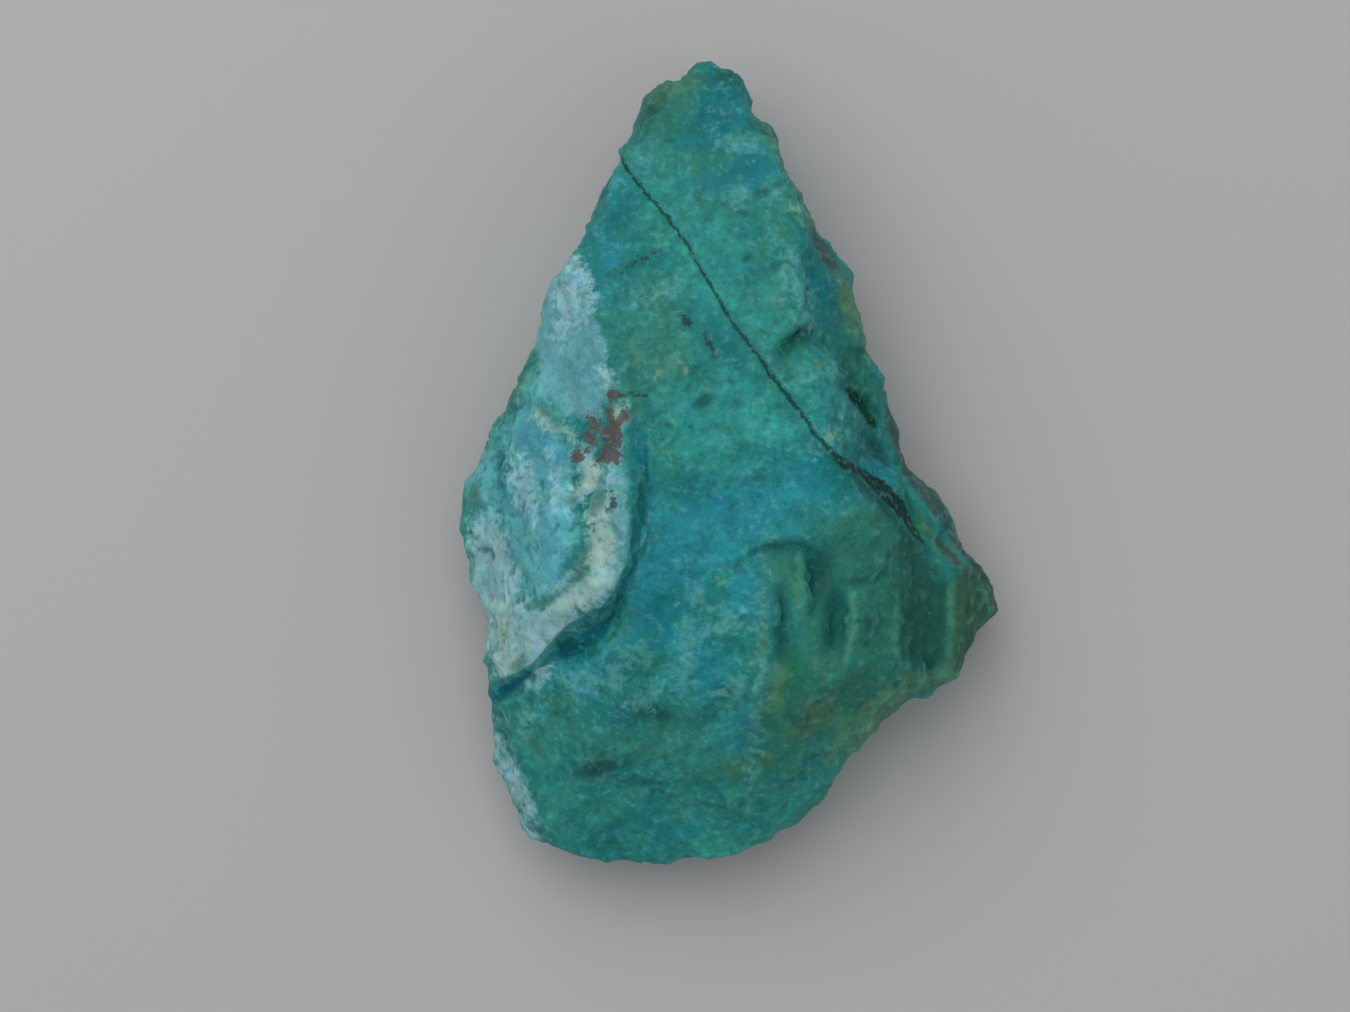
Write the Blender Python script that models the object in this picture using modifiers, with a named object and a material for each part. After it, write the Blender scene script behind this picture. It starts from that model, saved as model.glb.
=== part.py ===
# Raw chrysocolla: one broken, wedge-shaped piece of blue-green stone, lying on its back.
#
# Plan frame, in millimetres: x to the right, y towards the point of the wedge, z up from the
# face the stone rests on. The origin is under the middle of the stone.
#
# The stone starts as a slab with the stone's outline. The slab's two faces are then moved to the
# front, with its crust, ledges, scoops and grooves, and to the broken back. Chips of several sizes
# roughen it, and one flat cut gives the face that it rests on.

import itertools
import math

import bmesh
import bpy
import numpy as np

# Driving dimensions, in millimetres
WIDTH = 54.3  # left bulge to right corner
LENGTH = 80.7  # hidden lower edge to the nub at the point
THICKNESS = 25.6  # rest face to the top of the crust
CRUST_RAISE = 2.6  # height of the left crust over the main face
EDGE_LEAST = 2.4  # thickness of the broken rim
SIDE_LEAN = 0.24  # how far the foot of the sides leans in, as a share of their height
SIDE_TOP_LEAN = 0.05  # and their top
SIDE_WIDEST = 0.75  # how high up the sides their widest line is
SIDE_REACH = 5.0  # how far in from the outline the lean is felt
REST_CUT = 1.4  # taken off the lowest bumps to leave a flat face

# How finely the stone is made
MM = 0.001
SLAB_HALF = 6.0
WELD_GAP = 0.001
SLAB_VOXEL = 0.8
STONE_VOXEL = 0.5
SMOOTH_ROUNDS = 2  # smoothing of each even mesh
TRIANGLES = 8800

# Outline in plan, clockwise from the nub at the point: right edge, hidden lower edge, left edge
RIGHT_EDGE = [
    (-3.3, 40.6), (-0.7, 39.6), (0.6, 37.7), (1.4, 35.6), (2.1, 34.0), (3.8, 33.2), (5.3, 30.0),
    (7.4, 26.2), (9.0, 22.0), (10.0, 20.0), (12.4, 15.7), (13.8, 11.2), (14.7, 9.6), (15.5, 9.4),
    (15.7, 6.0), (16.8, 2.4), (18.5, -1.6), (20.3, -2.8), (22.0, -6.5), (25.3, -10.5),
    (26.8, -12.3), (27.2, -14.0), (26.3, -16.5), (24.8, -18.5), (24.0, -20.5), (23.0, -21.8),
    (18.5, -22.8), (15.0, -26.5), (11.7, -30.1),
]
LOWER_EDGE = [(9.0, -33.5), (3.0, -37.0), (-5.0, -39.5), (-13.0, -40.4), (-19.0, -39.3)]
LEFT_EDGE = [
    (-21.4, -37.3), (-23.4, -31.5), (-24.2, -28.0), (-25.0, -22.5), (-25.2, -17.5), (-26.5, -10.5),
    (-27.1, -5.0), (-26.7, -2.0), (-25.2, 3.0), (-24.2, 5.0), (-21.2, 9.0), (-20.1, 11.0),
    (-19.3, 13.5), (-19.1, 16.0), (-18.2, 18.0), (-15.6, 21.5), (-14.0, 25.0), (-11.4, 29.8),
    (-11.7, 30.7), (-10.3, 32.7), (-9.5, 35.2), (-8.8, 37.3), (-7.2, 38.4), (-5.0, 38.2),
    (-4.6, 39.9),
]

# A facet is a line on it, as two points with their heights, and its fall to the right of the line
# for each millimetre. The front is the lowest of its facets, and the back the highest of its own.
MAIN_FACETS = [
    ((-10.0, 0.0, 23.0), (8.0, 0.0, 23.1), 0.01),  # broad main face
    ((8.0, -14.0, 22.3), (5.0, 14.0, 22.9), 0.17),  # its right part
    ((10.0, 12.0, 22.7), (-12.0, 12.0, 22.9), 0.26),  # towards the point
    ((-12.0, -13.0, 22.9), (8.0, -14.0, 22.3), 0.25),  # towards the lower edge
    ((-15.0, -24.0, 20.1), (8.0, -25.0, 19.6), 0.72),
    ((-14.0, -18.0, 20.8), (-14.0, -38.0, 13.4), 0.65),  # lower left
    ((-21.5, -27.0, 13.8), (-20.0, -38.0, 9.0), 2.0),
    ((7.3, 14.0, 22.0), (5.9, 25.0, 19.2), 0.55),  # slope right of the pale upper edge
    ((12.3, 12.0, 20.0), (3.4, 35.0, 16.4), 2.0),  # right edge, upper part
    ((23.0, -20.5, 12.7), (23.9, -10.8, 13.0), 1.2),  # outer strip of the right corner
    ((4.0, -31.0, 15.5), (17.0, -21.0, 17.0), 1.1),  # lower right wall
    ((-5.0, 38.8, 15.8), (-9.6, 32.0, 17.2), 1.0),  # upper left
    ((-10.2, 30.5, 17.4), (-15.0, 21.5, 20.2), 1.8),
    ((2.0, 36.5, 15.8), (-5.0, 37.5, 15.8), 0.9),  # nub at the point
]
WALL_FACETS = [  # right wall, with the brown seam in its lower part: the higher of the two
    ((12.2, -1.0, 19.2), (9.5, 14.0, 18.8), 1.3),
    ((20.0, -8.5, 15.0), (12.5, 0.0, 19.5), 1.8),
]
CORNER_FACETS = [  # the right corner: the higher of the two
    ((17.0, -24.0, 17.0), (16.5, -9.0, 18.3), 1.1),
    ((22.0, -22.0, 12.8), (22.0, -10.0, 13.2), 0.4),
]
CRUST_SLOPE = ((-15.0, 20.2, 23.0), (-10.8, 4.0, 24.2), 0.85)  # smooth upper part of the crust
CRUST_BULGE = [
    ((-10.7, 5.6, 23.2), (-10.4, -3.0, 25.6), 0.5),
    ((-19.5, 8.0, 17.8), (-19.5, -6.0, 20.8), 1.15),
    ((-17.0, -9.5, 24.0), (-13.0, -14.1, 24.4), 0.7),
    ((-23.3, 8.0, 14.0), (-23.0, -24.0, 14.0), 2.0),
]
BACK_FACETS = [
    ((-14.0, 16.0, 0.0), (-16.0, -24.0, 0.0), -0.5),
    ((8.0, 19.0, 0.0), (-8.0, 21.0, 0.0), -0.3),
    ((12.0, -22.0, 0.0), (7.0, 18.0, 0.0), -0.22),
    ((-12.0, -26.0, 0.0), (8.0, -29.0, 0.0), -0.42),
    ((-17.0, -16.0, 0.0), (-11.0, -30.0, 0.0), -0.36),
    ((-7.0, 26.0, 0.0), (-17.0, 8.0, 0.0), -0.55),
    ((6.0, -30.0, 0.0), (18.0, -14.0, 0.0), -0.4),
]

# Edge of the crust, walked from the point's side: the crust is on the right of this line
CRUST_EDGE = [
    (-18.0, 25.0), (-15.0, 20.3), (-13.0, 12.5), (-11.8, 8.0), (-10.8, 4.0), (-10.4, -1.6),
    (-10.4, -7.6), (-10.9, -10.4), (-11.9, -12.6), (-13.2, -14.0), (-15.0, -14.9), (-17.1, -16.5),
    (-18.4, -18.4), (-20.5, -19.8), (-22.4, -20.7), (-24.5, -22.6), (-29.0, -26.0),
]
# How far out the foot of the crust's wall stands: length walked along the edge, distance
CRUST_WALL = [
    (22.4, 0.8), (25.0, 1.9), (28.0, 2.1), (31.0, 1.7), (34.0, 1.3), (38.0, 0.8), (41.2, 1.8),
    (43.2, 2.6), (45.8, 2.6), (48.1, 1.0), (50.6, 0.9), (52.8, 1.6), (55.6, 1.2),
]
RAISE_START = 5.0  # the crust begins to stand proud at this y ...
RAISE_RUN = 8.0  # ... and reaches its full height this much lower

# Grooves: path, half width, depth
GROOVES = [
    ([(-10.8, -11.8), (-12.6, -16.4), (-14.8, -18.1), (-16.8, -18.9), (-18.2, -19.3)], 1.0, 1.8),
    ([(-19.8, -20.2), (-22.4, -22.4), (-25.8, -24.2)], 0.9, 1.8),
    ([(-19.6, -14.2), (-17.2, -12.8), (-15.4, -11.2)], 0.6, 0.9),
    ([(11.3, 7.0), (12.7, 5.5), (14.3, 4.1)], 0.9, 3.0),
    ([(11.6, 0.1), (13.6, -1.3), (15.6, -3.3), (17.9, -6.1), (19.4, -7.8)], 1.1, 1.3),
]

GROOVE_FADE = 1.6  # how far from its ends a groove has its full depth

# Ledges: path with the drop on its right, drop, how far it takes to level out again
LEDGES = [
    ([(11.8, -0.8), (12.8, 1.4), (13.5, 3.9), (11.6, 6.7), (10.9, 8.8), (9.6, 10.8)], 2.5, 7.0),
    ([(3.4, 11.2), (5.9, 12.4), (7.4, 13.7), (6.9, 15.2), (6.5, 18.8), (8.4, 23.6)], 1.5, 5.0),
    ([(0.8, -8.2), (3.6, -8.2), (6.4, -8.0), (9.0, -8.8)], 1.0, 5.0),
    ([(6.9, -16.4), (6.7, -7.0)], 1.3, 5.0),
    ([(3.9, -21.0), (3.7, -11.8)], 1.2, 3.4),
    ([(10.2, -11.4), (11.5, -13.4), (11.7, -16.2), (10.9, -20.0)], 0.9, 2.8),
    ([(10.6, -11.8), (12.8, -11.7), (15.4, -10.4)], 0.6, 2.6),
    ([(17.3, -22.4), (17.2, -7.4)], 0.9, 4.6),
    ([(-1.8, 25.8), (-0.4, 25.0), (1.0, 24.6)], 0.7, 3.0),
    ([(-6.2, -17.0), (-5.4, -22.0), (-3.6, -27.0)], 0.8, 5.0),
    ([(14.6, -21.6), (19.0, -21.4), (22.0, -20.6)], 1.0, 4.0),
]
LEDGE_RUN = 0.7
LEDGE_FADE = 2.0

# Scoops: centre, half length, half width, turn in degrees, depth. A lump has a negative depth.
SCOOPS = [
    ((9.8, 12.2), 3.4, 1.9, -25.0, 1.5),
    ((7.0, 13.6), 1.3, 1.1, 40.0, 1.0),
    ((8.6, -11.0), 3.4, 2.0, 70.0, 1.0),
    ((10.0, -15.6), 5.2, 2.2, 86.0, 1.4),
    ((14.4, -15.8), 5.0, 3.2, 85.0, 0.9),
    ((13.6, -19.2), 4.0, 2.6, 70.0, 0.8),
    ((20.0, -20.0), 1.4, 1.1, 0.0, 1.2),
    ((2.4, 26.2), 1.2, 0.9, 0.0, 0.7),
    ((1.3, 20.0), 1.2, 0.9, 20.0, 0.6),
    ((-0.5, -22.4), 1.8, 1.2, 0.0, 0.8),
    ((3.2, -15.0), 3.0, 0.9, 86.0, -0.8),
    ((16.7, -15.8), 4.6, 0.9, 88.0, -0.5),
    ((2.6, -22.4), 5.6, 0.9, 88.0, -0.6),
    ((-19.6, -4.6), 6.0, 4.4, 80.0, -1.0),
    ((-2.0, 8.0), 9.0, 6.0, 75.0, 0.5),
    ((-2.0, -12.0), 8.0, 5.0, 20.0, 0.5),
]
BACK_SCOOPS = [
    ((-19.0, 4.0), 9.0, 5.5, 70.0, -2.2),
    ((16.0, -10.0), 8.0, 5.0, 110.0, -2.0),
    ((-1.0, 30.0), 8.0, 4.0, 95.0, -1.6),
    ((-4.0, -34.0), 9.0, 4.0, 5.0, -1.8),
]

# Chips: size across, depth, seed
CHIPS = [(10.0, 2.6, 3), (4.6, 1.3, 8)]
CHIP_TABLE = 16
CHIP_SPREAD = 0.4  # how unlike in height neighbouring chips are
CHIP_LEAN = [-0.98, -0.85, -0.1, 0.4, 0.9]  # upward part of the normal, from back to front
CHIP_SHARE = [0.65, 0.9, 0.75, 0.5, 0.1]  # share of the chips' depth that is kept there
ROUGH_SHARE = 0.6  # share that is kept in the middle of a rough place
ROUGH_PLACES = [  # of the front: centre, half length, half width, turn in degrees
    ((-18.0, -27.0), 9.0, 6.0, 0.0),
    ((-4.0, -30.0), 12.0, 6.0, 0.0),
    ((10.0, -24.0), 8.0, 5.0, 40.0),
    ((13.0, 6.0), 9.0, 3.0, 110.0),
    ((-7.0, 35.0), 5.0, 2.6, 60.0),
    ((-25.0, -3.0), 9.0, 2.4, 90.0),
]


def clear_scene():
    for old in list(bpy.data.objects):
        bpy.data.objects.remove(old, do_unlink=True)


def make_collection(name):
    collection = bpy.data.collections.new(name)
    bpy.context.scene.collection.children.link(collection)
    return collection


def smooth_step(t):
    t = np.clip(t, 0.0, 1.0)
    return t * t * (3.0 - 2.0 * t)


def facet(x, y, start, end, fall):
    run = math.hypot(end[0] - start[0], end[1] - start[1])
    step_x = (end[0] - start[0]) / run
    step_y = (end[1] - start[1]) / run
    along = (x - start[0]) * step_x + (y - start[1]) * step_y
    right = (x - start[0]) * step_y - (y - start[1]) * step_x
    return start[2] + (end[2] - start[2]) * along / run - fall * right


def lowest(x, y, facets):
    return np.minimum.reduce([facet(x, y, *one) for one in facets])


def highest(x, y, facets):
    return np.maximum.reduce([facet(x, y, *one) for one in facets])


def follow(x, y, path):
    """Distance to a path, with its sign positive on the right, and the length walked along it."""
    nearest = np.full(x.shape, np.inf)
    side = np.zeros(x.shape)
    walked = np.zeros(x.shape)
    before = 0.0
    for (ax, ay), (bx, by) in itertools.pairwise(path):
        run = math.hypot(bx - ax, by - ay)
        step_x, step_y = (bx - ax) / run, (by - ay) / run
        along = np.clip((x - ax) * step_x + (y - ay) * step_y, 0.0, run)
        gap = np.hypot(x - ax - along * step_x, y - ay - along * step_y)
        closer = gap < nearest
        right = (x - ax) * step_y - (y - ay) * step_x
        nearest = np.where(closer, gap, nearest)
        side = np.where(closer, np.sign(right), side)
        walked = np.where(closer, before + along, walked)
        before += run
    return nearest * side, walked, before


def groove(x, y, path, half_width, depth):
    side, walked, length = follow(x, y, path)
    fade = smooth_step(walked / GROOVE_FADE) * smooth_step((length - walked) / GROOVE_FADE)
    return depth * fade * np.clip(1.0 - np.abs(side) / half_width, 0.0, 1.0)


def ledge(x, y, path, drop, reach):
    side, walked, length = follow(x, y, path)
    fade = smooth_step(walked / LEDGE_FADE) * smooth_step((length - walked) / LEDGE_FADE)
    return drop * fade * smooth_step(side / LEDGE_RUN) * (1.0 - smooth_step(side / reach))


def oval(x, y, centre, half_length, half_width, turn):
    """1 in the middle of an oval, 0 on its rim and outside it."""
    turn = math.radians(turn)
    across_x, across_y = x - centre[0], y - centre[1]
    u = (across_x * math.cos(turn) + across_y * math.sin(turn)) / half_length
    v = (across_y * math.cos(turn) - across_x * math.sin(turn)) / half_width
    return np.clip(1.0 - u * u - v * v, 0.0, 1.0) ** 2


def crust_share(x, y):
    """1 on the crust, 0 on the main face, and between them across the crust's wall."""
    side, walked, _ = follow(x, y, CRUST_EDGE)
    return np.clip(1.0 + side / np.interp(walked, *zip(*CRUST_WALL, strict=True)), 0.0, 1.0)


def front_height(x, y):
    sides = np.minimum(highest(x, y, WALL_FACETS), highest(x, y, CORNER_FACETS))
    main = np.minimum(lowest(x, y, MAIN_FACETS), sides)
    raised = main + CRUST_RAISE * smooth_step((RAISE_START - y) / RAISE_RUN)
    slope = np.maximum(facet(x, y, *CRUST_SLOPE), lowest(x, y, CRUST_BULGE))
    crust = np.minimum(raised, slope)
    height = main + (crust - main) * crust_share(x, y)
    for path, half_width, depth in GROOVES:
        height = height - groove(x, y, path, half_width, depth)
    for path, drop, reach in LEDGES:
        height = height - ledge(x, y, path, drop, reach)
    for *place, depth in SCOOPS:
        height = height - depth * oval(x, y, *place)
    return height


def back_height(x, y):
    height = np.maximum(highest(x, y, BACK_FACETS), 0.0)
    for *place, depth in BACK_SCOOPS:
        height = height - depth * oval(x, y, *place)
    return height


def chips(points, size, seed):
    """Shallow bowls that meet in sharp ridges, as broken stone has, from about 0 to 1."""
    table = np.random.RandomState(seed).random_sample((CHIP_TABLE,) * 3 + (4,))
    cell = np.floor(points / size).astype(int)
    bowl = np.full(len(points), np.inf)
    for offset in itertools.product((-1, 0, 1), repeat=3):
        corner = cell + np.array(offset)
        draw = table[tuple((corner % CHIP_TABLE).T)]
        centre = (corner + draw[:, :3]) * size
        reach = ((points - centre) ** 2).sum(axis=1) / size**2
        bowl = np.minimum(bowl, reach + CHIP_SPREAD * draw[:, 3])
    return bowl


def read_points(mesh):
    points = np.empty(len(mesh.vertices) * 3)
    mesh.vertices.foreach_get("co", points)
    return points.reshape(-1, 3)


def write_points(mesh, points):
    mesh.vertices.foreach_set("co", points.ravel())
    mesh.update()


def replace_mesh(stone, mesh):
    old = stone.data
    stone.modifiers.clear()
    stone.data = mesh
    bpy.data.meshes.remove(old)


def evaluated_mesh(ob):
    bpy.context.view_layer.update()
    depsgraph = bpy.context.evaluated_depsgraph_get()
    return bpy.data.meshes.new_from_object(ob.evaluated_get(depsgraph))


def voxel_remesh(stone, voxel):
    remesh = stone.modifiers.new("even_mesh", "REMESH")
    remesh.mode = "VOXEL"
    remesh.voxel_size = voxel
    smooth = stone.modifiers.new("soft_steps", "SMOOTH")
    smooth.iterations = SMOOTH_ROUNDS
    replace_mesh(stone, evaluated_mesh(stone))


def make_slab(collection):
    """The outline as a 2D curve, extruded to a slab and made one welded mesh."""
    outline = RIGHT_EDGE + LOWER_EDGE + LEFT_EDGE
    curve = bpy.data.curves.new("outline", "CURVE")
    curve.dimensions = "2D"
    curve.fill_mode = "BOTH"
    curve.extrude = SLAB_HALF
    spline = curve.splines.new("POLY")
    spline.points.add(len(outline) - 1)
    for point, (x, y) in zip(spline.points, outline, strict=True):
        point.co = (x, y, 0.0, 1.0)
    spline.use_cyclic_u = True
    drawn = bpy.data.objects.new("outline", curve)
    collection.objects.link(drawn)
    mesh = evaluated_mesh(drawn)
    bpy.data.objects.remove(drawn)
    bpy.data.curves.remove(curve)
    weld(mesh)
    slab = bpy.data.objects.new("chrysocolla", mesh)
    collection.objects.link(slab)
    return slab


def weld(mesh):
    shape = bmesh.new()
    shape.from_mesh(mesh)
    bmesh.ops.remove_doubles(shape, verts=shape.verts, dist=WELD_GAP)
    bmesh.ops.recalc_face_normals(shape, faces=shape.faces)
    shape.to_mesh(mesh)
    shape.free()


def faces(x, y):
    back = back_height(x, y)
    return back, np.maximum(front_height(x, y), back + EDGE_LEAST)


def lean_in(x, y, share):
    """Draws the sides in towards the stone's middle above and below their widest line."""
    outline = RIGHT_EDGE + LOWER_EDGE + LEFT_EDGE
    gap, _, _ = follow(x, y, [*outline, outline[0]])
    back, front = faces(x, y)
    near = np.clip(1.0 - np.abs(gap) / SIDE_REACH, 0.0, 1.0)
    below = np.clip(1.0 - share / SIDE_WIDEST, 0.0, 1.0)
    above = np.clip((share - SIDE_WIDEST) / (1.0 - SIDE_WIDEST), 0.0, 1.0)
    lean = (SIDE_LEAN * below**2 + SIDE_TOP_LEAN * above**2) * (front - back) * near
    from_middle = np.hypot(x, y) + lean
    return x - x * lean / from_middle, y - y * lean / from_middle


def shape_faces(stone):
    """Moves the slab's upper face to the front, its lower face to the back, and all between."""
    points = read_points(stone.data)
    share = np.clip((points[:, 2] + SLAB_HALF) / (2.0 * SLAB_HALF), 0.0, 1.0)
    x, y = lean_in(points[:, 0], points[:, 1], share)
    back, front = faces(x, y)
    write_points(stone.data, np.stack([x, y, back + (front - back) * share], axis=1))


def chip_surface(stone):
    points = read_points(stone.data)
    normals = np.empty(points.size)
    stone.data.vertices.foreach_get("normal", normals)
    normals = normals.reshape(-1, 3)
    share = np.interp(normals[:, 2], CHIP_LEAN, CHIP_SHARE)
    for place in ROUGH_PLACES:
        share = np.maximum(share, ROUGH_SHARE * smooth_step(2.0 * oval(*points[:, :2].T, *place)))
    depth = np.zeros(len(points))
    for size, deep, seed in CHIPS:
        bowl = chips(points, size, seed)
        depth += deep * (bowl - bowl.mean())
    write_points(stone.data, points + normals * (depth * share)[:, None])


def thin_out(stone):
    """Fewer triangles, more of them where the stone bends most."""
    decimate = stone.modifiers.new("fewer_faces", "DECIMATE")
    decimate.ratio = TRIANGLES / (2.0 * len(stone.data.polygons))
    decimate.use_collapse_triangulate = True
    replace_mesh(stone, evaluated_mesh(stone))


def cut_rest_face(stone):
    """One flat cut just above the lowest bumps gives the face that the stone rests on."""
    level = read_points(stone.data)[:, 2].min() + REST_CUT
    shape = bmesh.new()
    shape.from_mesh(stone.data)
    every = shape.verts[:] + shape.edges[:] + shape.faces[:]
    cut = bmesh.ops.bisect_plane(
        shape, geom=every, plane_co=(0, 0, level), plane_no=(0, 0, 1), clear_inner=True
    )
    rim = [one for one in cut["geom_cut"] if isinstance(one, bmesh.types.BMEdge)]
    bmesh.ops.triangle_fill(shape, use_beauty=True, use_dissolve=False, edges=rim)
    bmesh.ops.triangulate(shape, faces=shape.faces)
    bmesh.ops.recalc_face_normals(shape, faces=shape.faces)
    shape.to_mesh(stone.data)
    shape.free()


def fit_size(stone):
    """Brings the stone to its measured size in metres, over the middle of its rest face."""
    points = read_points(stone.data)
    low, high = points.min(axis=0), points.max(axis=0)
    middle = np.array([(low[0] + high[0]) / 2.0, (low[1] + high[1]) / 2.0, low[2]])
    size = np.array([WIDTH, LENGTH, THICKNESS]) * MM
    write_points(stone.data, (points - middle) * size / (high - low))


def stone_material():
    material = bpy.data.materials.new("chrysocolla_stone")
    material.use_nodes = True
    shader = material.node_tree.nodes["Principled BSDF"]
    shader.inputs["Base Color"].default_value = (0.06, 0.33, 0.31, 1.0)
    shader.inputs["Roughness"].default_value = 0.5
    shader.inputs["Metallic"].default_value = 0.0
    return material


def make_stone(collection):
    stone = make_slab(collection)
    voxel_remesh(stone, SLAB_VOXEL)
    shape_faces(stone)
    voxel_remesh(stone, STONE_VOXEL)
    chip_surface(stone)
    voxel_remesh(stone, STONE_VOXEL)
    thin_out(stone)
    cut_rest_face(stone)
    fit_size(stone)
    stone.data.materials.append(stone_material())
    return stone


def main():
    clear_scene()
    make_stone(make_collection("raw_chrysocolla"))


main()
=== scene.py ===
import itertools
import math

import bmesh
import bpy
import numpy as np
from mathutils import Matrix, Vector


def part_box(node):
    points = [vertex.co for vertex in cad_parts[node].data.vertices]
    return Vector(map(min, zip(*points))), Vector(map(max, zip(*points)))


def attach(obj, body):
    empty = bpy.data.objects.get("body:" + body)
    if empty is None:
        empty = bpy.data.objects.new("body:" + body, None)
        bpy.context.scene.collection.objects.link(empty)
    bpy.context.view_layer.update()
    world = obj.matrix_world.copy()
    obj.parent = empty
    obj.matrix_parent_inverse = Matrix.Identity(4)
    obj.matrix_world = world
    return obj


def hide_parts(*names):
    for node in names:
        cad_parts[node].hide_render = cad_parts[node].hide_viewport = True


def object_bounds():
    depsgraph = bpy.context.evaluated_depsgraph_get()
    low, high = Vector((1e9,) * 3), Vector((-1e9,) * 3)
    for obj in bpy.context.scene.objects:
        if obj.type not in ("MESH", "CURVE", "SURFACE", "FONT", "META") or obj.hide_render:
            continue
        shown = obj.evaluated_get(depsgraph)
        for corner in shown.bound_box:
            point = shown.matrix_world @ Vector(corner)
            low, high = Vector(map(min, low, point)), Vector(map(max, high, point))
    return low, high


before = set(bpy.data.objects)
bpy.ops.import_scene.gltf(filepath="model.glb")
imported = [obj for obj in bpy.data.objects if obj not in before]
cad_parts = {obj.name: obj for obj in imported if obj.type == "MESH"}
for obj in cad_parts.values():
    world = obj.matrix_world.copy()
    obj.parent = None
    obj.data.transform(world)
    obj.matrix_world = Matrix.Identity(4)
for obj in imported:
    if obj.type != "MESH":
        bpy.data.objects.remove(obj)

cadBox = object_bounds()
mm = 0.001

# The stone is drawn in plan, in millimetres: x to the right, y towards its point, z up from the
# face it rests on. What a user would change about it is here.
stone = {
    "node": "chrysocolla",
    "slot": "chrysocolla",
    "crustRaise": 2.6,  # height of the left crust over the main face
    "edgeLeast": 2.4,  # thickness of the broken rim
    "sideLean": 0.24,  # how far the foot of the sides leans in, as a share of their height
    "sideTopLean": 0.05,  # and how far their top does
    "sideWidest": 0.75,  # how high up the sides their widest line is, as a share of their height
    "sideReach": 5.0,  # how far in from the outline the lean is felt
    "restCut": 1.4,  # taken off the lowest bumps
    "slabHalf": 6.0,  # half the thickness of the slab that it is shaped from
    "slabVoxel": 0.32,  # mesh size of that slab ...
    "stoneVoxel": 0.345,  # ... and of the stone
    "chips": [(10.0, 2.6, 3), (4.6, 1.3, 8)],  # size across, depth, seed
    "chipLean": [-0.98, -0.85, -0.1, 0.4, 0.9],  # upward part of the normal, from back to front
    "chipShare": [0.65, 0.9, 0.75, 0.5, 0.1],  # share of the chips' depth that is kept there
    "roughShare": 0.6,  # share that is kept in the middle of a rough place
    "fineChips": [(2.4, 0.75, 21), (1.1, 0.36, 34)],  # only as fine relief
    "fineLumps": [(4.5, 0.18, 51), (1.8, 0.1, 52)],
    "fineGrain": (0.7, 0.05, 53),
    "wornLoss": 0.86,  # share of the fine chips' depth that the worn front has lost ...
    "hacklyKept": 0.3,  # ... and the part of it that its rough places have kept
    "rippleDepth": 0.11,
    "stripeDepth": 0.07,
    "veinDepth": 0.14,
    "lightLevel": 0.62,  # how much of its colour a level surface sends back under these lights
    "greySheen": 0.008,  # and how much light it sends back without its colour
    "hueSpread": (1.2, 0.42, 0.62),  # how far red, green and blue vary from spot to spot
    "swirl": 5.0,  # how far the clouds of colour are pulled about
    "matrixShare": 0.8,  # the most that shows of the brown matrix, and so on
    "veinShare": 0.85,
    "veinCoreShare": 0.9,
    "fleckShare": 0.5,
    "darkShare": 0.45,
    # shares of the painted shade in small pits and in broad hollows
    "pitShadeShare": 0.5,
    "dipShadeShare": 0.4,
    "edgeShare": 0.25,
    "roughness": 0.52,
    "gloss": 0.2,
    "grainBump": 0.35,
    "bumpDepth": 0.5,
}

# Outline, clockwise from the nub at the point: right edge, hidden lower edge, left edge
rightEdge = [
    (-3.3, 40.6), (-0.7, 39.6), (0.6, 37.7), (1.4, 35.6), (2.1, 34.0), (3.8, 33.2), (5.3, 30.0),
    (7.4, 26.2), (9.0, 22.0), (10.0, 20.0), (12.4, 15.7), (13.8, 11.2), (14.7, 9.6), (15.5, 9.4),
    (15.7, 6.0), (16.8, 2.4), (18.5, -1.6), (20.3, -2.8), (22.0, -6.5), (25.3, -10.5),
    (26.8, -12.3), (27.2, -14.0), (26.3, -16.5), (24.8, -18.5), (24.0, -20.5), (23.0, -21.8),
    (18.5, -22.8), (15.0, -26.5), (11.7, -30.1),
]
lowerEdge = [(9.0, -33.5), (3.0, -37.0), (-5.0, -39.5), (-13.0, -40.4), (-19.0, -39.3)]
leftEdge = [
    (-21.4, -37.3), (-23.4, -31.5), (-24.2, -28.0), (-25.0, -22.5), (-25.2, -17.5), (-26.5, -10.5),
    (-27.1, -5.0), (-26.7, -2.0), (-25.2, 3.0), (-24.2, 5.0), (-21.2, 9.0), (-20.1, 11.0),
    (-19.3, 13.5), (-19.1, 16.0), (-18.2, 18.0), (-15.6, 21.5), (-14.0, 25.0), (-11.4, 29.8),
    (-11.7, 30.7), (-10.3, 32.7), (-9.5, 35.2), (-8.8, 37.3), (-7.2, 38.4), (-5.0, 38.2),
    (-4.6, 39.9),
]
outline = rightEdge + lowerEdge + leftEdge

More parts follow.
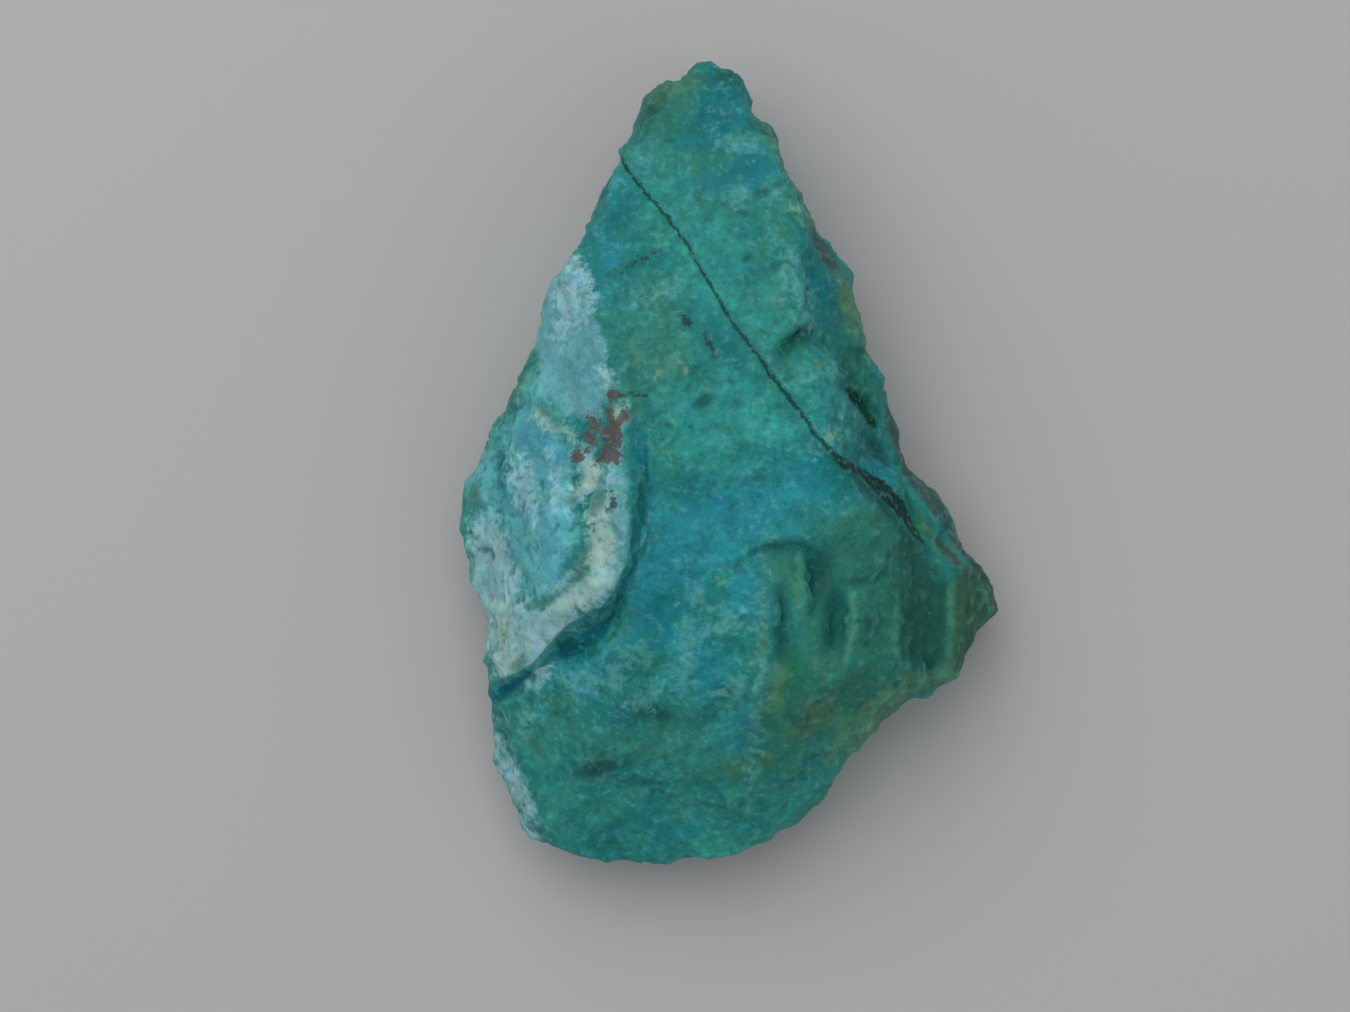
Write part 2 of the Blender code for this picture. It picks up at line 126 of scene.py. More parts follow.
# A facet is a line on it, as two points with their heights, and its fall to the right of the line
# for each millimetre. The main face is the lowest of its facets, the back the highest of its own.
mainFacets = [
    ((-10.0, 0.0, 23.0), (8.0, 0.0, 23.1), 0.01),  # broad main face
    ((8.0, -14.0, 22.3), (5.0, 14.0, 22.9), 0.17),  # its right part
    ((10.0, 12.0, 22.7), (-12.0, 12.0, 22.9), 0.26),  # towards the point
    ((-12.0, -13.0, 22.9), (8.0, -14.0, 22.3), 0.25),  # towards the lower edge
    ((-15.0, -24.0, 20.1), (8.0, -25.0, 19.6), 0.72),
    ((-14.0, -18.0, 20.8), (-14.0, -38.0, 13.4), 0.65),  # lower left
    ((-21.5, -27.0, 13.8), (-20.0, -38.0, 9.0), 2.0),
    ((7.3, 14.0, 22.0), (5.9, 25.0, 19.2), 0.55),  # slope right of the pale upper edge
    ((12.3, 12.0, 20.0), (3.4, 35.0, 16.4), 2.0),  # right edge, upper part
    ((23.0, -20.5, 12.7), (23.9, -10.8, 13.0), 1.2),  # outer strip of the right corner
    ((4.0, -31.0, 15.5), (17.0, -21.0, 17.0), 1.1),  # lower right wall
    ((-5.0, 38.8, 15.8), (-9.6, 32.0, 17.2), 1.0),  # upper left
    ((-10.2, 30.5, 17.4), (-15.0, 21.5, 20.2), 1.8),
    ((2.0, 36.5, 15.8), (-5.0, 37.5, 15.8), 0.9),  # nub at the point
]
wallFacets = [  # right wall, with the brown seam in its lower part: the higher of the two
    ((12.2, -1.0, 19.2), (9.5, 14.0, 18.8), 1.3),
    ((20.0, -8.5, 15.0), (12.5, 0.0, 19.5), 1.8),
]
cornerFacets = [  # the right corner: the higher of the two
    ((17.0, -24.0, 17.0), (16.5, -9.0, 18.3), 1.1),
    ((22.0, -22.0, 12.8), (22.0, -10.0, 13.2), 0.4),
]
crustSlope = ((-15.0, 20.2, 23.0), (-10.8, 4.0, 24.2), 0.85)  # smooth upper part of the crust
crustBulge = [
    ((-10.7, 5.6, 23.2), (-10.4, -3.0, 25.6), 0.5),
    ((-19.5, 8.0, 17.8), (-19.5, -6.0, 20.8), 1.15),
    ((-17.0, -9.5, 24.0), (-13.0, -14.1, 24.4), 0.7),
    ((-23.3, 8.0, 14.0), (-23.0, -24.0, 14.0), 2.0),
]
backFacets = [
    ((-14.0, 16.0, 0.0), (-16.0, -24.0, 0.0), -0.5),
    ((8.0, 19.0, 0.0), (-8.0, 21.0, 0.0), -0.3),
    ((12.0, -22.0, 0.0), (7.0, 18.0, 0.0), -0.22),
    ((-12.0, -26.0, 0.0), (8.0, -29.0, 0.0), -0.42),
    ((-17.0, -16.0, 0.0), (-11.0, -30.0, 0.0), -0.36),
    ((-7.0, 26.0, 0.0), (-17.0, 8.0, 0.0), -0.55),
    ((6.0, -30.0, 0.0), (18.0, -14.0, 0.0), -0.4),
]

# Edge of the crust, walked from the point's side: the crust is on the right of this line
crustEdge = [
    (-18.0, 25.0), (-15.0, 20.3), (-13.0, 12.5), (-11.8, 8.0), (-10.8, 4.0), (-10.4, -1.6),
    (-10.4, -7.6), (-10.9, -10.4), (-11.9, -12.6), (-13.2, -14.0), (-15.0, -14.9), (-17.1, -16.5),
    (-18.4, -18.4), (-20.5, -19.8), (-22.4, -20.7), (-24.5, -22.6), (-29.0, -26.0),
]
# How far out the foot of the crust's wall stands: length walked along the edge, distance
crustWall = [
    (22.4, 0.8), (25.0, 1.9), (28.0, 2.1), (31.0, 1.7), (34.0, 1.3), (38.0, 0.8), (41.2, 1.8),
    (43.2, 2.6), (45.8, 2.6), (48.1, 1.0), (50.6, 0.9), (52.8, 1.6), (55.6, 1.2),
]
raiseStart = 5.0  # the crust begins to stand proud at this y ...
raiseRun = 8.0  # ... and reaches its full height this much lower

# Grooves: path, half width, depth
grooves = [
    ([(-10.8, -11.8), (-12.6, -16.4), (-14.8, -18.1), (-16.8, -18.9), (-18.2, -19.3)], 1.0, 1.8),
    ([(-19.8, -20.2), (-22.4, -22.4), (-25.8, -24.2)], 0.9, 1.8),
    ([(-19.6, -14.2), (-17.2, -12.8), (-15.4, -11.2)], 0.6, 0.9),
    ([(11.3, 7.0), (12.7, 5.5), (14.3, 4.1)], 0.9, 3.0),
    ([(11.6, 0.1), (13.6, -1.3), (15.6, -3.3), (17.9, -6.1), (19.4, -7.8)], 1.1, 1.3),
]
grooveFade = 1.6  # how far from its ends a groove has its full depth

# Ledges: path with the drop on its right, drop, how far it takes to level out again
ledges = [
    ([(11.8, -0.8), (12.8, 1.4), (13.5, 3.9), (11.6, 6.7), (10.9, 8.8), (9.6, 10.8)], 2.5, 7.0),
    ([(3.4, 11.2), (5.9, 12.4), (7.4, 13.7), (6.9, 15.2), (6.5, 18.8), (8.4, 23.6)], 1.5, 5.0),
    ([(0.8, -8.2), (3.6, -8.2), (6.4, -8.0), (9.0, -8.8)], 1.0, 5.0),
    ([(6.9, -16.4), (6.7, -7.0)], 1.3, 5.0),
    ([(3.9, -21.0), (3.7, -11.8)], 1.2, 3.4),
    ([(10.2, -11.4), (11.5, -13.4), (11.7, -16.2), (10.9, -20.0)], 0.9, 2.8),
    ([(10.6, -11.8), (12.8, -11.7), (15.4, -10.4)], 0.6, 2.6),
    ([(17.3, -22.4), (17.2, -7.4)], 0.9, 4.6),
    ([(-1.8, 25.8), (-0.4, 25.0), (1.0, 24.6)], 0.7, 3.0),
    ([(-6.2, -17.0), (-5.4, -22.0), (-3.6, -27.0)], 0.8, 5.0),
    ([(14.6, -21.6), (19.0, -21.4), (22.0, -20.6)], 1.0, 4.0),
]
ledgeRun = 0.7  # how wide its drop is
ledgeFade = 2.0

# Rough places of the front: centre, half length, half width, turn in degrees
roughPlaces = [
    ((-18.0, -27.0), 9.0, 6.0, 0.0), ((-4.0, -30.0), 12.0, 6.0, 0.0),
    ((10.0, -24.0), 8.0, 5.0, 40.0),
    ((13.0, 6.0), 9.0, 3.0, 110.0), ((-7.0, 35.0), 5.0, 2.6, 60.0),
    ((-25.0, -3.0), 9.0, 2.4, 90.0),
]
finePlaces = [  # and those where only its grain is rough
    ((-14.0, -6.0), 8.0, 2.4, 85.0), ((-16.0, -13.4), 5.4, 3.2, 30.0),
    ((0.0, -24.0), 6.0, 4.0, 60.0), ((12.0, 6.0), 8.0, 3.0, 110.0),
]

# Scoops: centre, half length, half width, turn in degrees, depth. A lump has a negative depth.
scoops = [
    ((9.8, 12.2), 3.4, 1.9, -25.0, 1.5),
    ((7.0, 13.6), 1.3, 1.1, 40.0, 1.0),
    ((8.6, -11.0), 3.4, 2.0, 70.0, 1.0),
    ((10.0, -15.6), 5.2, 2.2, 86.0, 1.4),
    ((14.4, -15.8), 5.0, 3.2, 85.0, 0.9),
    ((13.6, -19.2), 4.0, 2.6, 70.0, 0.8),
    ((20.0, -20.0), 1.4, 1.1, 0.0, 1.2),
    ((2.4, 26.2), 1.2, 0.9, 0.0, 0.7),
    ((1.3, 20.0), 1.2, 0.9, 20.0, 0.6),
    ((-0.5, -22.4), 1.8, 1.2, 0.0, 0.8),
    ((3.2, -15.0), 3.0, 0.9, 86.0, -0.8),
    ((16.7, -15.8), 4.6, 0.9, 88.0, -0.5),
    ((2.6, -22.4), 5.6, 0.9, 88.0, -0.6),
    ((-19.6, -4.6), 6.0, 4.4, 80.0, -1.0),
    ((-2.0, 8.0), 9.0, 6.0, 75.0, 0.5),
    ((-2.0, -12.0), 8.0, 5.0, 20.0, 0.5),
]
backScoops = [
    ((-19.0, 4.0), 9.0, 5.5, 70.0, -2.2),
    ((16.0, -10.0), 8.0, 5.0, 110.0, -2.0),
    ((-1.0, 30.0), 8.0, 4.0, 95.0, -1.6),
    ((-4.0, -34.0), 9.0, 4.0, 5.0, -1.8),
]


def smoothStep(t):
    t = np.clip(t, 0.0, 1.0)
    return t * t * (3.0 - 2.0 * t)


def facet(x, y, start, end, fall):
    run = math.hypot(end[0] - start[0], end[1] - start[1])
    stepX = (end[0] - start[0]) / run
    stepY = (end[1] - start[1]) / run
    along = (x - start[0]) * stepX + (y - start[1]) * stepY
    right = (x - start[0]) * stepY - (y - start[1]) * stepX
    return start[2] + (end[2] - start[2]) * along / run - fall * right


def lowest(x, y, facets):
    return np.minimum.reduce([facet(x, y, *one) for one in facets])


def highest(x, y, facets):
    return np.maximum.reduce([facet(x, y, *one) for one in facets])


def follow(x, y, path):
    # distance to a path, positive on its right, and how far along it that is
    nearest = np.full(x.shape, np.inf)
    side = np.zeros(x.shape)
    walked = np.zeros(x.shape)
    before = 0.0
    for (ax, ay), (bx, by) in itertools.pairwise(path):
        run = math.hypot(bx - ax, by - ay)
        stepX, stepY = (bx - ax) / run, (by - ay) / run
        along = np.clip((x - ax) * stepX + (y - ay) * stepY, 0.0, run)
        gap = np.hypot(x - ax - along * stepX, y - ay - along * stepY)
        closer = gap < nearest
        right = (x - ax) * stepY - (y - ay) * stepX
        nearest = np.where(closer, gap, nearest)
        side = np.where(closer, np.sign(right), side)
        walked = np.where(closer, before + along, walked)
        before += run
    return nearest * side, walked, before


def groove(x, y, path, halfWidth, depth):
    side, walked, length = follow(x, y, path)
    fade = smoothStep(walked / grooveFade) * smoothStep((length - walked) / grooveFade)
    return depth * fade * np.clip(1.0 - np.abs(side) / halfWidth, 0.0, 1.0)


def ledge(x, y, path, drop, reach):
    side, walked, length = follow(x, y, path)
    fade = smoothStep(walked / ledgeFade) * smoothStep((length - walked) / ledgeFade)
    return drop * fade * smoothStep(side / ledgeRun) * (1.0 - smoothStep(side / reach))


def ovalReach(x, y, centre, halfLength, halfWidth, turn):
    # 0 in the middle of an oval, 1 on its rim
    turn = math.radians(turn)
    acrossX, acrossY = x - centre[0], y - centre[1]
    u = (acrossX * math.cos(turn) + acrossY * math.sin(turn)) / halfLength
    v = (acrossY * math.cos(turn) - acrossX * math.sin(turn)) / halfWidth
    return np.hypot(u, v)


def oval(x, y, *place):
    # 1 in the middle of an oval, 0 on its rim and outside it
    return np.clip(1.0 - ovalReach(x, y, *place) ** 2, 0.0, 1.0) ** 2


def within(x, y, place):
    # 1 well inside an oval, 0 outside it
    return smoothStep(2.0 * oval(x, y, *place))


def crustShare(x, y):
    side, walked, _ = follow(x, y, crustEdge)
    return np.clip(1.0 + side / np.interp(walked, *zip(*crustWall, strict=True)), 0.0, 1.0)


def frontHeight(x, y):
    sides = np.minimum(highest(x, y, wallFacets), highest(x, y, cornerFacets))
    main = np.minimum(lowest(x, y, mainFacets), sides)
    raised = main + stone["crustRaise"] * smoothStep((raiseStart - y) / raiseRun)
    slope = np.maximum(facet(x, y, *crustSlope), lowest(x, y, crustBulge))
    crust = np.minimum(raised, slope)
    height = main + (crust - main) * crustShare(x, y)
    for path, halfWidth, depth in grooves:
        height = height - groove(x, y, path, halfWidth, depth)
    for path, drop, reach in ledges:
        height = height - ledge(x, y, path, drop, reach)
    for *place, depth in scoops:
        height = height - depth * oval(x, y, *place)
    return height


def backHeight(x, y):
    height = np.maximum(highest(x, y, backFacets), 0.0)
    for *place, depth in backScoops:
        height = height - depth * oval(x, y, *place)
    return height


def chips(points, size, seed):
    # shallow bowls that meet in sharp ridges, as broken stone has, about 1 deep
    tableSize, spread = 16, 0.4
    table = np.random.RandomState(seed).random_sample((tableSize,) * 3 + (4,))
    cell = np.floor(points / size).astype(int)
    bowl = np.full(len(points), np.inf)
    for offset in itertools.product((-1, 0, 1), repeat=3):
        corner = cell + np.array(offset)
        draw = table[tuple((corner % tableSize).T)]
        centre = (corner + draw[:, :3]) * size
        reach = ((points - centre) ** 2).sum(axis=1) / size**2
        bowl = np.minimum(bowl, reach + spread * draw[:, 3])
    return bowl - bowl.mean()


def softNoise(points, size, seed):
    # smooth random lumps, from -1 to 1
    tableSize = 32
    table = np.random.RandomState(seed).random_sample((tableSize,) * 3) * 2.0 - 1.0
    place = points / size
    cell = np.floor(place).astype(int)
    share = smoothStep(place - cell)
    total = np.zeros(len(points))
    for offset in itertools.product((0, 1), repeat=3):
        near = np.where(np.array(offset) == 1, share, 1.0 - share).prod(axis=1)
        total += near * table[tuple(((cell + np.array(offset)) % tableSize).T)]
    return total


def readVectors(mesh, name):
    vectors = np.empty(len(mesh.vertices) * 3)
    mesh.vertices.foreach_get(name, vectors)
    return vectors.reshape(-1, 3)


def readPoints(mesh):
    return readVectors(mesh, "co")


def readNormals(mesh):
    return readVectors(mesh, "normal")


def writePoints(mesh, points):
    mesh.vertices.foreach_set("co", points.ravel())
    mesh.update()


def evaluatedMesh(ob):
    bpy.context.view_layer.update()
    depsgraph = bpy.context.evaluated_depsgraph_get()
    return bpy.data.meshes.new_from_object(ob.evaluated_get(depsgraph))


def smoothed(mesh, rounds):
    # each point moved to the middle of its neighbours, again and again
    points = readPoints(mesh)
    ends = np.empty(len(mesh.edges) * 2, dtype=np.int32)
    mesh.edges.foreach_get("vertices", ends)
    a, b = ends.reshape(-1, 2).T
    size = len(points)
    count = np.bincount(a, minlength=size) + np.bincount(b, minlength=size)
    for _ in range(rounds):
        total = [
            np.bincount(a, points[b, axis], size) + np.bincount(b, points[a, axis], size)
            for axis in range(3)
        ]
        points = np.stack(total, axis=1) / count[:, None]
    return points


remeshSmoothing = 2


def voxelRemesh(piece, voxel):
    remesh = piece.modifiers.new("evenMesh", "REMESH")
    remesh.mode = "VOXEL"
    remesh.voxel_size = voxel
    mesh = evaluatedMesh(piece)
    old = piece.data
    piece.modifiers.clear()
    piece.data = mesh
    bpy.data.meshes.remove(old)
    writePoints(mesh, smoothed(mesh, remeshSmoothing))


def makeSlab():
    curve = bpy.data.curves.new("outline", "CURVE")
    curve.dimensions = "2D"
    curve.fill_mode = "BOTH"
    curve.extrude = stone["slabHalf"]
    spline = curve.splines.new("POLY")
    spline.points.add(len(outline) - 1)
    for point, (x, y) in zip(spline.points, outline, strict=True):
        point.co = (x, y, 0.0, 1.0)
    spline.use_cyclic_u = True
    drawn = bpy.data.objects.new("outline", curve)
    bpy.context.scene.collection.objects.link(drawn)
    mesh = evaluatedMesh(drawn)
    bpy.data.objects.remove(drawn)
    bpy.data.curves.remove(curve)
    weld = bmesh.new()
    weld.from_mesh(mesh)
    bmesh.ops.remove_doubles(weld, verts=weld.verts, dist=0.001)
    bmesh.ops.recalc_face_normals(weld, faces=weld.faces)
    weld.to_mesh(mesh)
    weld.free()
    slab = bpy.data.objects.new("rawChrysocolla", mesh)
    bpy.context.scene.collection.objects.link(slab)
    return slab


def faces(x, y):
    back = backHeight(x, y)
    return back, np.maximum(frontHeight(x, y), back + stone["edgeLeast"])


def leanIn(x, y, share):
    # draws the sides in towards the stone's middle above and below their widest line
    gap, _, _ = follow(x, y, [*outline, outline[0]])
    back, front = faces(x, y)
    near = np.clip(1.0 - np.abs(gap) / stone["sideReach"], 0.0, 1.0)
    widest = stone["sideWidest"]
    below = np.clip(1.0 - share / widest, 0.0, 1.0)
    above = np.clip((share - widest) / (1.0 - widest), 0.0, 1.0)
    lean = (stone["sideLean"] * below**2 + stone["sideTopLean"] * above**2) * (front - back) * near
    fromMiddle = np.hypot(x, y) + lean
    return x - x * lean / fromMiddle, y - y * lean / fromMiddle


def shapeFaces(piece):
    # the slab's upper face goes to the front, its lower face to the back
    points = readPoints(piece.data)
    share = np.clip((points[:, 2] + stone["slabHalf"]) / (2.0 * stone["slabHalf"]), 0.0, 1.0)
    x, y = leanIn(points[:, 0], points[:, 1], share)
    back, front = faces(x, y)
    writePoints(piece.data, np.stack([x, y, back + (front - back) * share], axis=1))


wornFrom = 0.6  # upward part of the normal
wornRun = 0.3


def wornShare(normals):
    # 1 where the surface looks up, as on the worn front
    return smoothStep((normals[:, 2] - wornFrom) / wornRun)


def chipSurface(piece):
    points = readPoints(piece.data)
    normals = readNormals(piece.data)
    share = np.interp(normals[:, 2], stone["chipLean"], stone["chipShare"])
    for place in roughPlaces:
        share = np.maximum(share, stone["roughShare"] * within(*points[:, :2].T, place))
    depth = np.zeros(len(points))
    for size, deep, seed in stone["chips"]:
        depth += deep * chips(points, size, seed)
    writePoints(piece.data, points + normals * (depth * share)[:, None])


# The dark vein: path over the front, with its half width at each point
veinPath = [
    (-11.4, 30.2, 0.15), (-10.7, 28.9, 0.16), (-8.4, 25.9, 0.17), (-6.4, 23.6, 0.15),
    (-4.6, 21.2, 0.18), (-3.2, 18.6, 0.16), (-1.8, 16.2, 0.18), (-0.1, 13.4, 0.18),
    (1.6, 11.4, 0.17), (4.0, 8.0, 0.19), (6.4, 5.1, 0.2), (8.3, 2.4, 0.2), (9.0, 1.7, 0.22),
    (10.0, 0.8, 0.3), (11.0, -0.2, 0.42), (12.2, -0.8, 0.34), (13.2, -1.4, 0.42),
    (14.3, -2.1, 0.6), (15.6, -3.3, 0.75), (16.9, -4.7, 0.65), (17.7, -5.8, 0.5),
    (18.4, -7.1, 0.3), (19.2, -7.9, 0.1),
]

# Marks on the front, by name. An oval is centre, half length, half width, turn.
ovals = {
    "green": [  # greener clouds of the body
        ((-8.3, 12.0), 8.0, 4.0, 108.0), ((3.4, 18.0), 6.0, 1.8, 112.0),
        ((-9.6, -26.0), 7.6, 3.6, 10.0), ((7.0, -21.6), 8.0, 5.0, 30.0),
        ((-4.4, 6.4), 5.0, 1.6, 20.0), ((6.4, 24.0), 7.0, 2.0, 112.0),
        ((13.2, 6.4), 5.0, 1.8, 110.0), ((-25.6, -1.0), 6.0, 1.2, 95.0),
        ((11.8, -6.6), 4.4, 2.8, 150.0), ((-6.0, 0.6), 3.0, 1.2, 100.0),
        ((4.6, -11.0), 2.6, 2.2, 80.0), ((-7.6, 33.6), 5.0, 1.6, 60.0),
        ((4.8, 9.4), 4.0, 1.8, 150.0), ((-23.0, 6.0), 5.0, 1.2, 52.0),
        ((-16.0, -23.0), 3.4, 2.0, 20.0), ((-2.4, 30.4), 3.0, 1.6, 60.0),
        ((-11.4, 21.8), 2.0, 1.0, 60.0),
    ],
    "blue": [  # bluer clouds of the body
        ((-0.6, -5.0), 8.0, 4.0, 20.0), ((-6.6, -11.0), 7.0, 4.0, 60.0),
        ((-1.0, 35.4), 4.0, 2.8, 80.0), ((0.4, 28.0), 3.4, 1.4, 20.0),
        ((-11.4, 26.0), 2.8, 1.2, 60.0), ((-12.4, 19.4), 3.6, 1.2, 105.0),
        ((9.2, 17.0), 3.8, 1.7, 112.0), ((7.0, -1.8), 4.0, 2.6, 150.0),
        ((14.0, -1.0), 3.0, 1.4, 130.0), ((-8.6, -7.0), 4.6, 1.2, 95.0),
        ((-15.0, -20.4), 4.0, 1.2, 25.0), ((-3.6, -20.0), 3.6, 2.4, 60.0),
        ((0.4, -26.6), 3.0, 1.8, 80.0), ((14.6, -9.8), 1.6, 0.9, 60.0),
        ((2.0, -13.0), 3.0, 2.0, 90.0), ((-6.2, -17.4), 2.4, 1.4, 30.0),
    ],
    "sea": [  # darker clouds of the body
        ((-1.6, 35.0), 4.6, 2.8, 75.0), ((0.2, 28.6), 3.0, 1.2, 20.0),
        ((-11.4, 24.6), 3.4, 1.2, 62.0), ((9.6, 15.8), 3.6, 1.6, 112.0),
        ((10.4, -0.6), 3.6, 2.0, 140.0), ((-4.0, -2.6), 2.4, 1.6, 0.0),
        ((-7.4, -14.4), 3.0, 1.6, 50.0), ((2.4, -1.4), 2.0, 1.2, 60.0),
        ((-1.0, 10.8), 2.6, 1.4, 130.0), ((1.2, 22.6), 1.6, 1.0, 60.0),
        ((-10.0, -24.6), 4.0, 1.6, 10.0), ((3.6, -25.6), 3.0, 1.4, 30.0),
        ((12.6, 11.4), 3.0, 1.2, 115.0), ((-2.8, -24.4), 1.8, 1.2, 60.0),
        ((14.2, 1.8), 2.6, 1.0, 100.0), ((11.6, 9.4), 1.6, 0.6, 120.0),
        ((9.0, 17.6), 4.0, 1.4, 108.0),
    ],
    "cyan": [  # clear bright stone
        ((-1.0, 20.0), 3.6, 3.0, 110.0), ((4.2, 15.0), 3.6, 2.0, 110.0),
        ((9.0, 7.0), 4.2, 2.2, 115.0), ((-2.8, 2.2), 6.0, 3.0, 130.0),
        ((-7.4, 24.4), 3.0, 1.4, 130.0), ((1.4, 5.0), 4.0, 1.6, 130.0),
        ((-1.4, -26.0), 2.4, 1.4, 70.0), ((-7.6, -21.4), 2.4, 1.2, 40.0),
    ],
    "forest": [  # duller green of the lower right
        ((13.6, -13.6), 9.0, 6.4, 84.0), ((9.6, -22.4), 9.4, 4.6, 38.0),
        ((21.0, -17.4), 6.0, 5.0, 60.0), ((-6.4, 36.0), 4.0, 2.0, 60.0),
        ((12.4, 9.6), 5.0, 1.4, 110.0), ((3.0, -30.0), 6.0, 2.0, 10.0),
        ((4.9, -11.2), 2.6, 1.8, 84.0),
    ],
    "faceShade": [  # painted shade on faces turned from the lamp
        ((-0.6, 38.4), 1.5, 0.9, 150.0), ((-8.0, 35.6), 3.0, 0.9, 62.0),
        ((8.6, -11.0), 2.4, 1.0, 75.0), ((13.0, -2.4), 1.2, 0.4, 140.0),
    ],
    "drab": [((26.0, -13.4), 2.4, 1.4, 120.0)],  # outer strip of the right corner
    "emerald": [  # clear green beside the cracks
        ((6.0, 11.9), 2.2, 1.0, 35.0), ((5.6, -20.6), 2.4, 0.8, 80.0),
    ],
    "olive": [  # yellow-brown stains
        ((8.1, -25.2), 2.6, 1.6, 30.0), ((-14.2, -30.6), 1.8, 0.8, 20.0),
        ((11.4, 16.2), 3.0, 1.2, 112.0), ((17.8, -22.8), 2.4, 0.8, 12.0),
        ((-0.3, -30.2), 1.0, 0.7, 0.0), ((-6.6, 37.2), 2.2, 0.8, 20.0),
        ((3.4, -29.0), 0.7, 0.6, 0.0), ((4.4, -22.6), 2.4, 0.9, 70.0),
        ((20.0, -20.8), 2.4, 0.8, 5.0), ((14.0, -25.4), 6.5, 1.7, 42.0),
        ((-26.2, -3.8), 1.0, 0.7, 90.0),
    ],
    "limeAndHighlight": [  # yellow-green edges and planes, with painted highlight on the steps' lit ridges
        ((-9.9, 4.6), 1.3, 0.8, 60.0), ((8.2, 9.6), 0.9, 0.5, 30.0),
        ((4.4, 15.6), 1.2, 0.5, 120.0), ((8.6, -20.8), 2.2, 0.4, 125.0),
        ((-10.0, 10.4), 1.6, 0.9, 100.0), ((-6.8, 9.4), 1.6, 1.0, 20.0),
        ((-1.4, -11.7), 0.5, 0.4, 0.0), ((19.6, -21.6), 2.2, 0.4, 4.0),
    ],
    "deep": [  # painted shade in pits and under edges
        ((6.5, 12.5), 1.7, 0.7, 42.0), ((2.8, 26.5), 0.7, 0.5, 0.0),
        ((1.3, 20.0), 0.6, 0.4, 20.0), ((-3.1, 5.9), 0.9, 0.6, 30.0),
        ((-0.6, -22.8), 1.2, 0.6, 30.0), ((-8.4, -24.4), 2.6, 0.8, 160.0),
        ((19.6, -20.2), 1.5, 0.6, 4.0), ((0.4, -10.2), 0.6, 0.3, 60.0),
        ((-13.6, -30.4), 3.0, 0.8, 12.0), ((14.6, 1.2), 1.6, 0.7, 120.0),
    ],
    "pale": [  # small washed-out patches
        ((5.8, 25.4), 1.8, 0.9, 150.0), ((5.9, 17.6), 3.4, 0.9, 105.0),
        ((7.3, 14.8), 1.2, 0.6, 90.0), ((0.4, 31.5), 1.4, 0.8, 20.0),
        ((0.0, 26.1), 1.2, 0.8, 0.0), ((10.0, 2.6), 1.4, 0.8, 30.0),
        ((-4.8, -19.8), 2.8, 0.7, 82.0), ((2.5, -21.6), 4.6, 0.3, 88.0),
        ((-1.0, -16.2), 2.0, 0.8, 20.0), ((-11.4, -20.4), 2.4, 1.2, 30.0),
        ((-16.0, -21.6), 2.4, 1.0, 20.0), ((-9.8, -8.4), 1.6, 0.5, 70.0),
        ((-0.3, -22.3), 1.0, 0.7, 0.0), ((-7.6, 16.4), 1.6, 0.6, 30.0),
        ((-9.4, 29.3), 0.8, 0.5, 30.0), ((8.4, 8.8), 1.6, 0.6, 20.0),
        ((-3.4, -13.8), 1.6, 0.5, 120.0), ((-9.0, -23.0), 1.6, 0.7, 20.0),
        ((-21.2, -25.6), 1.6, 0.8, 70.0), ((-19.6, 8.8), 2.0, 1.0, 60.0),
    ],
    "shell": [  # the broken bulge of the crust
        ((-19.6, -5.0), 9.0, 4.0, 86.0), ((-18.6, -11.0), 3.0, 2.2, 60.0),
        ((-20.6, 3.4), 4.4, 2.2, 55.0), ((-25.2, -2.0), 6.0, 1.6, 94.0),
    ],
    "steel": [  # bluer stone in it
        ((-19.8, 1.6), 2.8, 2.2, 120.0), ((-18.0, 0.4), 1.2, 1.0, 50.0),
        ((-18.9, -5.4), 3.4, 0.5, 92.0), ((-23.4, -2.6), 4.0, 0.5, 94.0),
        ((-21.4, -4.6), 1.0, 0.8, 120.0),
    ],
    "ash": [  # pale face at the far left and round the bulge
        ((-24.2, -13.4), 8.0, 2.6, 98.0), ((-22.0, -17.6), 4.6, 3.0, 110.0),
        ((-15.6, -12.8), 4.0, 1.6, 32.0), ((-18.6, -16.0), 4.4, 2.0, 38.0),
        ((-13.0, -6.6), 6.0, 1.3, 92.0), ((-14.6, -0.8), 2.6, 1.3, 100.0),
        ((-24.4, -28.6), 2.6, 0.7, 84.0), ((-22.2, -33.0), 4.8, 1.0, 112.0),
        ((-24.0, -13.0), 3.0, 1.6, 95.0),
    ],
    "cream": [  # yellowish crust
        ((-14.6, -1.8), 2.2, 1.0, 55.0), ((-13.4, -6.6), 1.7, 1.3, 80.0),
        ((-14.0, -9.4), 1.5, 1.1, 40.0), ((-15.4, -13.2), 2.8, 0.9, 34.0),
        ((-23.6, -17.0), 3.6, 1.0, 100.0), ((-12.6, -8.2), 1.6, 0.9, 88.0),
        ((-18.2, 3.6), 1.8, 0.4, 150.0),
    ],
    "whiteAndGlint": [  # nearly white: whitish crust, with painted highlight where the bulge and the crust's top shine
        ((-16.6, 15.8), 2.8, 1.1, 82.0), ((-15.2, 18.2), 1.4, 0.5, 110.0),
        ((-12.9, 8.3), 0.8, 0.4, 100.0), ((-21.2, -2.2), 3.0, 1.3, 105.0),
        ((-18.0, -3.0), 1.6, 0.5, 95.0), ((-15.4, -3.6), 1.2, 0.6, 55.0),
        ((-13.2, -6.2), 0.7, 0.5, 60.0), ((-17.0, -12.2), 1.0, 0.5, 40.0),
    ],
    "moss": [  # green-black specks in the cream
        ((-13.6, -3.8), 1.3, 0.7, 70.0), ((-16.2, -3.8), 0.6, 0.4, 0.0),
        ((-14.9, -8.9), 0.9, 0.4, 60.0), ((-21.6, -19.8), 0.8, 0.4, 60.0),
        ((-18.6, 4.6), 1.4, 0.4, 130.0), ((-20.0, -28.4), 1.0, 0.4, 130.0),
        ((-26.4, -3.8), 1.2, 0.5, 90.0),
    ],
    "brown": [  # small brown spots and cracks
        ((-12.36, -2.8), 0.25, 0.2, 0.0), ((-12.05, -3.5), 0.25, 0.2, 0.0),
